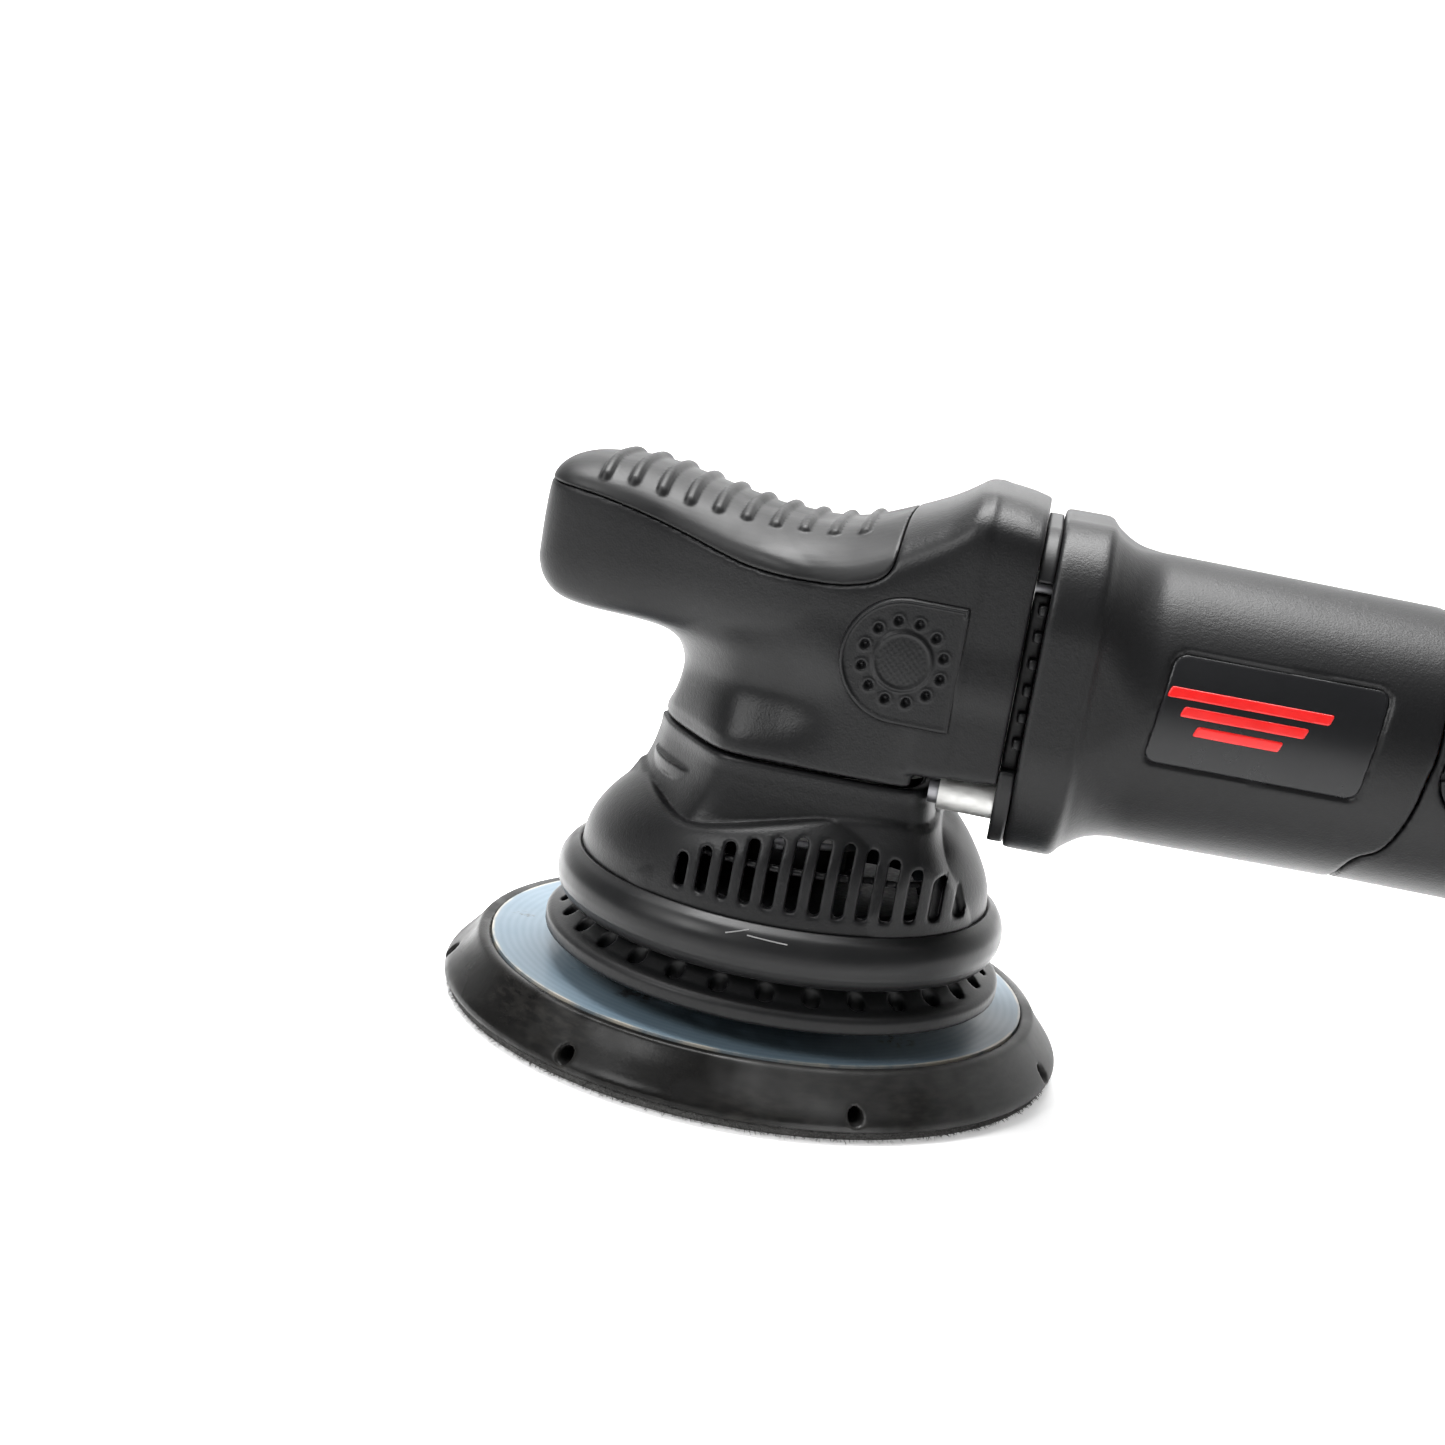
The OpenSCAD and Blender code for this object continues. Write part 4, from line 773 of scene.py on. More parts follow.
def build_air_ring():
    """Recessed strip between head and motor flange, with a dark toothed window in each side."""
    g = Grid((HEAD_END - 1, -37, MOTOR_Z - 37), (FLANGE_X + 1, 37, MOTOR_Z + 37), 0.5)
    half = 34.7
    body = box_2d(g.y, g.z - MOTOR_Z - 0.4, half, half + 0.6, 17)
    body = np.maximum(body + 0 * g.x, -(np.hypot(g.y, g.z - MOTOR_Z) - 26.6))
    low, high = MOTOR_Z - 16, MOTOR_Z + 25
    teeth = 6
    pitch = (high - low) / (teeth + 1)
    window = np.maximum(np.abs(g.z - (low + high) / 2) - (high - low) / 2, 30.5 - np.abs(g.y))
    body = smooth_max(body, -window, 0.3)
    for k in range(teeth):
        z = low + (k + 1) * pitch
        tooth = np.maximum(np.abs(g.z - z) - 1.15, np.abs(np.abs(g.y) - 31) - 2.3)
        body = np.minimum(body, np.maximum(tooth + 0 * g.x, FLANGE_X - 1.9 - g.x))
    body = np.maximum(body, np.maximum(HEAD_END + 0.03 - g.x, g.x - FLANGE_X + 0.03))
    for sy in (-1, 1):
        for sz in (-1, 1):
            body = np.maximum(body, 2.35 - np.hypot(g.y - 28 * sy, g.z - MOTOR_Z - 23.5 * sz))
    piece = field_object("air_strip", g, body, 2)
    finish_piece(piece, "body", "trim_black", trim_plastic, "air_ring")


def plate_zone(g, grow=0.0):
    """Leaning round-cornered panel on the housing's side, in x and z."""
    cx, cz = FLANGE_X + 49.2, MOTOR_Z + 3.3
    u = g.x - cx - (g.z - cz) * 0.115
    return box_2d(u, g.z - cz, 22.9 + grow, 12.2 + grow, 3.0 + grow)


def rear_seam(g):
    """Positive behind the curved seam between motor housing and handle."""
    points = curve([
        (-15, -42), (-11.6, -24.3), (-6.2, -18.9), (-3.2, -10.7), (-1.7, -2), (-0.4, 8), (0, 42),
    ])
    z = g.z - MOTOR_Z
    return g.x - BARREL_END - np.interp(z, points[:, 1], points[:, 0])


def build_motor():
    g = Grid((FLANGE_X - 1, -38.5, MOTOR_Z - 38.5), (BARREL_END + 1, 38.5, MOTOR_Z + 38.5), STEP * 1.1)
    outer = barrel_field(g)
    panel = np.maximum(plate_zone(g), -(outer + 0.85))
    shell = smooth_max(outer, -panel, 0.5)
    shell = smooth_max(shell, rear_seam(g) + 0.15, 0.8)
    r = np.hypot(g.y, g.z - MOTOR_Z)
    bore = np.where(g.x < FLANGE_X + 6, r - 29.2, r - 28.6)
    shell = np.maximum(shell, -bore)
    housing = field_object("motor_shell", g, shell)
    finish_piece(housing, "body", "housing_black", housing_plastic, "motor_housing")
    build_name_plates()


def build_name_plates():
    for s, name in ((-1, "near"), (1, "far")):
        fine = Grid((FLANGE_X + 23, min(s * 20, s * 34), MOTOR_Z - 12),
            (FLANGE_X + 77, max(s * 20, s * 34), MOTOR_Z + 18), 0.45)
        outer = barrel_field(fine)
        zone = plate_zone(fine, -0.35)
        plate = smooth_max(smooth_max(outer + 0.42, zone, 0.5), -(outer + 1.2), 0.1)
        piece = field_object("side_panel_" + name, fine, plate, 2)
        finish_piece(piece, "body", "label_black", panel_gloss, "name_plates")
        cx, cz = FLANGE_X + 45, MOTOR_Z + 3.6
        fine = Grid((cx - 22, min(s * 26, s * 34), cz - 7), (cx + 22, max(s * 26, s * 34), cz + 7), 0.26)
        outer = barrel_field(fine)
        bars = None
        for k, (start, long) in enumerate(((-17, 34), (-13.6, 26), (-10.2, 18))):
            z = cz + 3.7 - 3.7 * k
            u = fine.x - cx - start - long / 2 - (fine.z - z) * 0.35
            bar = box_2d(u, fine.z - z, long / 2, 1.15, 0.5)
            bars = bar if bars is None else np.minimum(bars, bar)
        stripe = smooth_max(smooth_max(outer + 0.2, bars, 0.15), -(outer + 0.75), 0.1)
        piece = field_object("side_stripes_" + name, fine, stripe, 2)
        finish_piece(piece, "body", "stripe_red", stripe_paint, "plate_stripes")


# ---- shroud ------------------------------------------------------------------------

SLOT_N = 13
SLOT_PITCH = 5
SLOT_MID = 12
SLOT_LOW = 44.2


def shroud_outer(g):
    """Upper flare with flat flanks, lower bulge under a wavy step, as one skin."""
    r = np.hypot(g.x, g.y)
    plan = outline(foot_plan_outline(), g.x[:, :, 0], g.y[:, :, 0])[:, :, None]
    flare = curve([
        (38, 14), (44, 12.2), (48, 10.2), (52, 7.8), (56, 5.2), (60, 2.9), (64, 1.3), (68, 0.35),
        (71, 0.0), (78, 0.0),
    ])
    upper = (plan - np.interp(g.z, flare[:, 0], flare[:, 1])) * 0.84
    flank = np.abs(g.y) - np.interp(g.z, [46, 54, 60, 66, 73], [41.0, 38.2, 36.9, 36.4, 36.2])
    upper = smooth_max(upper, flank * 0.97, 3)
    dome = curve([
        (28, 48.4), (34, 48.6), (40, 48.4), (44, 47.9), (47, 47.1), (50, 45.6), (53, 43.5), (56, 40.7),
        (59, 37.3),
        (63, 31.5), (70, 18),
    ])
    # the bulge rises over the slots and falls away towards the nose and the motor
    turn = np.arctan2(g.x - 16, np.abs(g.y) + 0.01)
    rise = 6.2 * np.cos(np.clip(turn, -np.pi / 2, np.pi / 2)) ** 2 * step_up(g.z, 50, 14)
    lower = (r - np.interp(g.z - rise, dome[:, 0], dome[:, 1])) * 0.8
    crease = curve([
        (-44, 62), (-37, 61), (-31, 59.4), (-20, 57.0), (-10, 58.7), (1.6, 61.6), (12, 64.1),
        (22, 65.4), (27, 65.3),
        (31.5, 64.4), (36, 64.2), (42, 65.8), (49, 67),
    ])
    ledge = smooth_max(np.minimum(lower, upper - 0.75),
        (g.z - np.interp(g.x, crease[:, 0], crease[:, 1])) * 0.9, 1.2)
    field = smooth_min(upper, ledge, 0.35)
    return smooth_max(field, r - 48.6, 1.0)


def slot_field(g, skin):
    out = np.full(g.full(g.x).shape, 50.0)
    for k in range(SLOT_N):
        x = SLOT_MID + (k - (SLOT_N - 1) / 2) * SLOT_PITCH
        top = 60.1 - 0.0095 * (x - SLOT_MID) ** 2
        low, high = SLOT_LOW + 1.2, top - 1.2
        d = np.hypot(g.x - x, np.maximum(np.maximum(low - g.z, g.z - high), 0)) - 1.2
        reach = 26 - 0.12 * abs(x)
        inner = reach - np.abs(g.y) if abs(x) < 36 else np.maximum(-(skin + 1.5), 20 - np.abs(g.y))
        out = np.minimum(out, np.maximum(d, inner))
    return out


def build_shroud():
    g = Grid((-49.5, -49.5, SHROUD_LOW[2] - 1), (49.5, 49.5, SHROUD_HIGH[2] + 1), STEP * 0.8)
    outer = shroud_outer(g)
    shell = np.maximum(outer, -(outer + 2.4))
    hoop = np.maximum(np.abs(outer + 3.1) - 0.8, np.abs(g.z - 52.2) - 0.7)
    seat = np.maximum(np.abs(np.hypot(g.x, g.y) - 29.3) - 5.3, np.abs(g.z - (NECK_Z - 9)) - 1.5)
    shell = smooth_max(shell, -slot_field(g, outer), 0.45)
    shell = smooth_min(shell, hoop, 0.3)
    shell = np.minimum(shell, seat)
    shell = smooth_max(shell, g.z - (NECK_Z - 0.35), 0.8)
    shell = np.maximum(shell, (SHROUD_LOW[2] + 0.05) - g.z)
    piece = field_object("shroud_shell", g, shell)
    finish_piece(piece, "body", "housing_black", housing_plastic, "shroud")


# ---- turned pieces -------------------------------------------------------------------


def turned(name, profile, centre=(0, 0), steps=240, wave=None):
    """Closed profile of radius and height turned about a vertical axis."""
    p = np.array(profile, float)
    angle = np.linspace(0, 2 * np.pi, steps, endpoint=False)
    r = p[:, 0][None] + 0 * angle[:, None]
    z = p[:, 1][None] + 0 * angle[:, None]
    if wave is not None:
        r, z = wave(angle[:, None], r, z)
    verts = np.stack([
        centre[0] + r * np.cos(angle)[:, None], centre[1] + r * np.sin(angle)[:, None], z,
    ], -1).reshape(-1, 3) * MM
    n = len(p)
    i = np.arange(steps)[:, None]
    j = np.arange(n)[None]
    a = i * n + j
    b = i * n + (j + 1) % n
    c = ((i + 1) % steps) * n + (j + 1) % n
    d = ((i + 1) % steps) * n + j
    faces = np.stack([a, d, c, b], -1).reshape(-1, 4)
    area = 0.5 * np.sum(p[:, 0] * np.roll(p[:, 1], -1) - np.roll(p[:, 0], -1) * p[:, 1])
    if area < 0:
        faces = faces[:, ::-1]
    return mesh_object(name, verts, faces)


def bumper_line():
    """Bumper's outer line, from its lower lip up to the edge against the shroud, as radius and height."""
    low, r = RING_LOW[2], RING_HIGH[0]
    return curve([
        (48.6, low + 0.1), (50.6, low + 0.5), (52.0, low + 2.0), (r - 0.1, low + 4.6), (r, low + 6.4),
        (r - 0.5, low + 8.6),
        (r - 1.8, low + 10.6), (r - 3.4, low + 11.8), (48.9, low + 12.15), (48.3, low + 11.9),
    ], 7)


def build_bumper():
    out = bumper_line()
    seam = RING_LOW[2] + 3.4
    out[:, 0] += 0.12 * np.exp(-((out[:, 1] - seam) / 0.2) ** 2)
    profile = np.vstack([out, [(47.6, RING_LOW[2] + 11.6), (47.6, RING_LOW[2] + 0.6)]])
    ring = turned("bumper_band", profile, steps=320)
    finish_piece(ring, "body", "grip_rubber", bumper_rubber, "bumper_ring")
    build_arrow(out)


def build_arrow(line):
    """Thin moulded arrow on the bumper, showing which way the pad turns."""
    heights, radii = line[:, 1], line[:, 0]
    mid = RING_LOW[2] + 6.2

    def on_ring(turn, rise):
        z = mid + rise
        r = float(np.interp(z, heights, radii)) + 0.02
        return Vector((r * math.cos(turn), r * math.sin(turn), z)) * MM
    strokes = ([(-1.58, 3.9), (-1.41, 3.5)], [(-1.67, 3.5), (-1.58, 4.9)])
    data = bpy.data.curves.new("turn_arrow", "CURVE")
    data.dimensions = "3D"
    data.bevel_depth = 0.15 * MM
    data.bevel_resolution = 2
    data.use_fill_caps = True
    for (t0, h0), (t1, h1) in strokes:
        spline = data.splines.new("POLY")
        spline.points.add(7)
        for k in range(8):
            f = k / 7
            spline.points[k].co = (*on_ring(t0 + f * (t1 - t0), h0 + f * (h1 - h0)), 1)
    arrow = bpy.data.objects.new("turn_arrow", data)
    bpy.context.scene.collection.objects.link(arrow)
    data.materials.append(arrow_mark)
    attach(arrow, "body")


SKIRT_HOLES = 30
SKIRT_HOLE_PCR = 48.8
SKIRT_HOLE_R = 1.95


def build_skirt():
    r_out = SKIRT_HIGH[0]
    low, high = SKIRT_LOW[2], SKIRT_HIGH[2]
    profile = np.array([
        (r_out - 0.7, low), (r_out, low + 0.7), (r_out, low + 3.2), (r_out - 0.9, low + 4),
        (r_out - 3.4, low + 4.9),
        (46.2, 28.9), (46.2, high), (42.6, high), (42.6, low + 2.2), (r_out - 2.4, low + 2),
        (r_out - 2.4, low),
    ])
    g = Grid((-r_out - 1, -r_out - 1, low - 1), (r_out + 1, r_out + 1, high + 1), STEP * 0.8)
    field = g.lathe(profile)
    x, y = g.x[:, :, 0], g.y[:, :, 0]
    pitch = 2 * np.pi / SKIRT_HOLES
    near = np.round(np.arctan2(y, x) / pitch) * pitch
    d = np.hypot(x - SKIRT_HOLE_PCR * np.cos(near), y - SKIRT_HOLE_PCR * np.sin(near)) - SKIRT_HOLE_R
    field = smooth_max(field, -d[:, :, None], 0.5)
    piece = field_object("skirt_ring", g, field)
    finish_piece(piece, "body", "housing_black", trim_plastic, "skirt_flange")


FOAM_HOLES = 7
FOAM_HOLE_R = 1.75
FOAM_HOLE_RISE = 3.4
FIRST_HOLE = math.radians(-114.6)


def plate_hole_turns():
    return [2 * math.pi * k / FOAM_HOLES + FIRST_HOLE for k in range(FOAM_HOLES)]


def build_foam():
    edge = (PLATE_HIGH[0] - PLATE_LOW[0]) / 2
    low, high = PLATE_LOW[2], PLATE_HIGH[2]
    disc = (DISC_HIGH[0] - DISC_LOW[0]) / 2
    outer = curve([
        (edge - 1.0, low), (edge - 0.2, low + 0.7), (edge, low + 1.6), (edge - 0.7, low + 3.0),
        (edge - 2.4, low + 5.0),
        (edge - 4.3, low + 7.2), (edge - 5.9, low + 9.3), (edge - 6.9, high - 0.6), (edge - 7.7, high),
        (disc + 0.8, high - 0.15),
    ], 4)
    profile = np.vstack([
        [(9, low)], outer, [(disc + 0.12, high - 0.5), (disc + 0.12, high - 1.7), (24.1, high - 1.7),
            (24.1, high - 5), (9, high - 5)],
    ])
    g = Grid((-edge - 1, -edge - 1, low - 1), (edge + 1, edge + 1, high + 1), STEP * 0.95)
    field = g.lathe(profile)
    for turn in plate_hole_turns():
        along = g.x * math.cos(turn) + g.y * math.sin(turn)
        across = -g.x * math.sin(turn) + g.y * math.cos(turn)
        hole = np.hypot(across, g.z - low - FOAM_HOLE_RISE) - FOAM_HOLE_R
        hole = np.maximum(hole, (edge - 12) - along)
        field = smooth_max(field, -hole, 0.7)
    piece = field_object("plate_body", g, field)
    piece.data.transform(Matrix.Translation((PLATE_X * MM, PLATE_Y * MM, 0)))
    finish_piece(piece, "plate", "foam_black", foam_skin, "foam_plate")


def build_hook_face():
    """Hook face under the plate, with its fringe of cut loops round the rim."""
    edge = (PLATE_HIGH[0] - PLATE_LOW[0]) / 2
    top = PLATE_LOW[2]
    profile = [(9, 0.5), (edge - 2.2, 0.4), (edge - 1.5, 0.8), (edge - 1.35, top - 0.3),
        (edge - 1.6, top), (9, top)]
    face = turned("hook_sheet", profile, (PLATE_X, PLATE_Y), 360)
    finish_piece(face, "plate", "hook_dark", hook_weave, "hook_face")
    # fringe: short bent stems, denser at the rim and spread over the face
    count = 9000
    rim = int(count * 0.45)
    turn = rng.uniform(0, 2 * np.pi, count)
    radius = np.concatenate([
        rng.uniform(edge - 2.1, edge - 1.45, rim), np.sqrt(rng.uniform(11 ** 2, (edge - 2.0) ** 2,
            count - rim)),
    ])
    height = np.concatenate([rng.uniform(0.5, top - 0.3, rim), np.full(count - rim, 0.52)])
    length = np.concatenate([rng.uniform(0.35, 1.15, rim), rng.uniform(0.35, 0.5, count - rim)])
    verts, faces = [], []
    for k in range(count):
        out = np.array([math.cos(turn[k]), math.sin(turn[k]), 0])
        side = np.array([-out[1], out[0], 0])
        base = out * radius[k] + [PLATE_X, PLATE_Y, height[k]]
        if k < rim:
            aim = out * 0.9 + side * rng.uniform(-0.8, 0.8) + [0, 0, rng.uniform(-0.5, 0.35)]
            bend = side * rng.uniform(-0.5, 0.5) + [0, 0, rng.uniform(-0.6, 0.1)]
        else:
            aim = np.array([0, 0, -1.0]) + side * rng.uniform(-0.3, 0.3)
            bend = out * rng.uniform(-0.4, 0.4)
        aim = aim / np.linalg.norm(aim)
        thick = np.cross(aim, out + [0.1, 0.2, 0.3])
        thick = thick / np.linalg.norm(thick)
        wide = np.cross(aim, thick)
        start = len(verts)
        for f, w in ((0, 0.07), (0.5, 0.06), (1, 0.045)):
            centre = base + length[k] * (f * aim + f * f * bend)
            centre[2] = max(centre[2], 0.03)
            for a in range(3):
                t = 2 * math.pi * a / 3
                verts.append(centre + w * (math.cos(t) * thick + math.sin(t) * wide))
        for ringno in (0, 1):
            for a in range(3):
                b = (a + 1) % 3
                s = start + 3 * ringno
                faces.append((s + a, s + b, s + 3 + b, s + 3 + a))
    verts = np.array(verts)
    verts[:, 2] = np.maximum(verts[:, 2], 0.02)
    fringe = mesh_object("hook_fringe", verts * MM, np.array(faces))
    fringe.data.materials.append(hook_fibre)
    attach(fringe, "plate")


# ---- rear handle ---------------------------------------------------------------------

HANDLE_END = HANDLE_HIGH[0]
BELL_END = BARREL_END + 34
GRIP_Z = MOTOR_Z - 1
TRIGGER_X = node_box("trigger")[0][0] + 1
DIAL_X = sum(b[0] for b in node_box("speed_dial")) / 2
LOCK_LOW, LOCK_HIGH = node_box("lock_button")
LOCK_X, LOCK_Z = (LOCK_LOW[0] + LOCK_HIGH[0]) / 2, (LOCK_LOW[2] + LOCK_HIGH[2]) / 2
TAIL_R = 31.5
SCREWS = [
    (BELL_END + 6, GRIP_Z + 13), (BELL_END + 6, GRIP_Z - 13), (HANDLE_END - 78, GRIP_Z + 14),
    (HANDLE_END - 24, GRIP_Z + 13), (HANDLE_END - 24, GRIP_Z - 14),
]


def handle_outer(g):
    e = HANDLE_END
    top = curve([
        (BARREL_END - 20, MOTOR_Z + TAIL_R), (BARREL_END, MOTOR_Z + TAIL_R),
        (BELL_END - 12, MOTOR_Z + TAIL_R - 0.8),
        (BELL_END + 2, MOTOR_Z + TAIL_R - 6), (BELL_END + 18, GRIP_Z + 21), (e - 90, GRIP_Z + 20),
        (e - 45, GRIP_Z + 20.5),
        (e - 14, GRIP_Z + 21.5), (e - 2, GRIP_Z + 15), (e, GRIP_Z),
    ])
    under = curve([
        (e, GRIP_Z), (e - 2, GRIP_Z - 16), (e - 12, GRIP_Z - 23.5), (e - 30, GRIP_Z - 23),
        (e - 46, GRIP_Z - 20.5),
        (TRIGGER_X + 40, GRIP_Z - 20), (TRIGGER_X, GRIP_Z - 21), (BELL_END + 2, MOTOR_Z - TAIL_R + 6),
        (BELL_END - 12, MOTOR_Z - TAIL_R + 0.8), (BARREL_END, MOTOR_Z - TAIL_R),
        (BARREL_END - 20, MOTOR_Z - TAIL_R),
    ])
    side = outline(np.vstack([top, under]), g.x[:, 0, :], g.z[0])[:, None, :]
    half = curve([
        (BARREL_END - 20, TAIL_R), (BARREL_END, TAIL_R), (BELL_END - 12, TAIL_R - 0.8),
        (BELL_END + 4, TAIL_R - 5),
        (BELL_END + 20, 23), (e - 90, 22), (e - 40, 22), (e - 12, 23), (e - 2, 16), (e, 0.3),
    ])
    plan = outline(mirrored(half), g.x[:, :, 0], g.y[:, :, 0])[:, :, None]
    tube = np.hypot(g.y, g.z - MOTOR_Z) - TAIL_R
    grip = step_up(g.x, BELL_END + 12, 30)
    body = smooth_max(side, plan, 11)
    body = smooth_max(body, tube, 3)
    barrel = np.maximum(smooth_max(tube, side, 0.5), plan)
    return body * grip + barrel * (1 - grip)


def drilled(g, field, x, z, r, y_from, y_to):
    hole = np.hypot(g.x - x, g.z - z) - r
    hole = np.maximum(hole, np.maximum(y_from - g.y, g.y - y_to))
    return smooth_max(field, -hole, 0.5)


def build_handle():
    g = Grid((BARREL_END - 16, -33, MOTOR_Z - 33), (HANDLE_END + 1, 33, MOTOR_Z + 33), STEP * 1.15)
    outer = handle_outer(g)
    seam = rear_seam(g)
    # the grip's rubber back: an inlay along the top from behind the bell to the dial
    inlay_points = inlay_outline_points()
    inlay_side = outline(inlay_points, g.x[:, 0, :], g.z[0])[:, None, :]
    inlay = np.maximum(inlay_side, -(outer + 1.5))
    shell = np.maximum(outer, -(outer + 2.8))
    for x, z in SCREWS:
        shell = np.minimum(shell, np.maximum(np.hypot(g.x - x, g.z - z) - 4.2, outer + 0.2))
    shell = smooth_max(shell, -(inlay - 0.2), 0.4)
    shell = smooth_max(shell, 0.15 - seam, 0.8)
    shell = np.maximum(shell, -np.maximum(np.hypot(g.y, g.z - MOTOR_Z) - 28.5, g.x - BELL_END + 8))
    gap = np.maximum(
        box_2d(g.x - TRIGGER_X - 33, g.y, 35.2, 9.6, 2), g.z - GRIP_Z + 12)
    shell = smooth_max(shell, -gap, 1.2)
    cap_x = node_box("brush_caps")[0][0] + 8
    for s in (-1, 1):
        y0, y1 = (15, 40) if s > 0 else (-40, -15)
        shell = drilled(g, shell, cap_x, MOTOR_Z, 8.25, y0, y1)
        window = box_2d(g.x - BELL_END + 10.5, g.z - MOTOR_Z, 3.6, 13.1, 1.2)
        window = np.maximum(window, 12 - s * g.y)
        shell = smooth_max(shell, -window, 0.5)
    dial = np.maximum(box_2d(g.x - DIAL_X, g.y, 11.6, 4.3, 1.2), GRIP_Z + 8 - g.z)
    shell = smooth_max(shell, -dial, 0.7)
    shell = drilled(g, shell, LOCK_X, LOCK_Z, 6.4, -40, 0)
    for x, z in SCREWS:
        shell = drilled(g, shell, x, z, 3.4, -40, -11)
        shell = drilled(g, shell, x, z, 1.6, -15, 15)
    gland = np.maximum(np.hypot(g.y, g.z - GRIP_Z) - 9.15, HANDLE_END - 20 - g.x)
    shell = smooth_max(shell, -gland, 0.5)
    for s, node in ((1, "handle_left"), (-1, "handle_right")):
        half = smooth_max(shell, 0.06 - s * g.y, 0.6)
        piece = field_object("handle_half_" + ("left" if s > 0 else "right"), g, half)
        finish_piece(piece, "body", "housing_black", housing_plastic, node)
    build_handle_inlay(inlay_points)


def inlay_outline_points():
    return curve([
        (BELL_END + 14.5, GRIP_Z + 30), (BELL_END + 15, GRIP_Z + 8), (BELL_END + 19, GRIP_Z + 1.2),
        (BELL_END + 34, GRIP_Z - 1.6), (HANDLE_END - 90, GRIP_Z - 0.6), (HANDLE_END - 68, GRIP_Z + 0.4),
        (HANDLE_END - 60.5, GRIP_Z + 4), (HANDLE_END - 58.5, GRIP_Z + 12), (HANDLE_END - 58, GRIP_Z + 30),
    ])


def build_handle_inlay(points):
    g = Grid((BELL_END + 12, -26, GRIP_Z - 4), (HANDLE_END - 56, 26, GRIP_Z + 26), STEP * 0.95)
    outer = handle_outer(g)
    side = outline(points, g.x[:, 0, :], g.z[0])[:, None, :]
    # cross grooves along the back of the grip
    groove_x = np.arange(BELL_END + 27, HANDLE_END - 66, 6.5)
    near = np.full(g.shape, 9.0)
    for x in groove_x:
        near = np.minimum(near, np.abs(g.x - x + 0 * g.y))
    deep = 0.8 * np.clip(1 - (near / 0.9) ** 2, 0, 1) * step_up(g.z, GRIP_Z + 13, 5)
    pad = smooth_max(outer - 0.25 + deep, side + 0.1, 0.8)
    pad = np.maximum(pad, -(outer + 1.4))
    pad = smooth_max(pad, -(np.hypot(g.x - LOCK_X, np.where(g.y < 0, g.z - LOCK_Z, 99)) - 8.3), 0.5)
    for x, z in SCREWS:
        pad = smooth_max(pad, -(np.hypot(g.x - x, g.z - z) + 0 * g.y - 4.7), 0.5)
    piece = field_object("handle_back_pad", g, pad)
    finish_piece(piece, "body", "grip_rubber", grip_rubber, "handle_overmould")


# ---- materials for the rest -------------------------------------------------------------


def gloss_panel():
    paint = Paint("panel_gloss", (0.005, 0.005, 0.006), 0.3, specular=0.3)
    paint.set_roughness(paint.range(paint.noise(45, 5.0), 0.3, 0.7, 0.24, 0.38))
    cloud = paint.noise(60, 4.0)
    paint.set_colour(paint.mix(cloud, (0.004, 0.0042, 0.005), (0.0065, 0.0067, 0.0075)))
    paint.bump(paint.noise(1500, 2.0), 0.000008, 0.4)
    return paint.material


def red_print():
    paint = Paint("stripe_paint", (0.56, 0.004, 0.004), 0.35)
    paint.set_colour(paint.mix(paint.noise(400, 3.0), (0.50, 0.003, 0.003), (0.62, 0.006, 0.005)))
    paint.set_roughness(paint.range(paint.noise(300, 3.0), 0.3, 0.7, 0.28, 0.45))
    paint.bump(paint.noise(2500, 2.0), 0.00001, 0.4)
    return paint.material


def plate_foam():
    """Dense moulded foam with a glossy skin, rubbed lighter in patches and along its edges."""
    paint = Paint("foam_skin", (0.006, 0.006, 0.006), 0.3, specular=0.32)
    haze = paint.noise(30, 6.0, (1, 1, 2.5))
    rub = paint.noise(260, 4.0, (1, 1, 4))
    worn = paint.maths("MULTIPLY", paint.range(haze, 0.46, 0.74, 0, 1), paint.range(rub, 0.4, 0.66, 0, 0.8))
    base = paint.mix(rub, (0.003, 0.003, 0.003), (0.0065, 0.0063, 0.006))
    edge = paint.maths("MULTIPLY", paint.edge(0.52, 0.6), paint.range(rub, 0.35, 0.6, 0.1, 0.7))
    colour = paint.mix(worn, base, (0.017, 0.016, 0.0145))
    paint.set_colour(paint.mix(edge, colour, (0.05, 0.047, 0.042)))
    paint.set_roughness(paint.range(paint.noise(24, 5.0), 0.4, 0.6, 0.24, 0.6))
    sheen = paint.range(paint.noise(21, 4.0), 0.46, 0.64, 0.1, 0.75)
    paint.link(sheen, paint.shader.inputs["Specular IOR Level"])
    low = paint.bump(paint.noise(190, 4.0), 0.00012, 0.35)
    paint.bump(paint.noise(1400, 3.0), 0.00003, 0.5, low)
    return paint.material


# rubbed places on the disc: x, y and half width
DISC_SCUFFS = ((-25.3, -33.4, 5), (33.8, -26, 5), (-37.2, -16.5, 4))


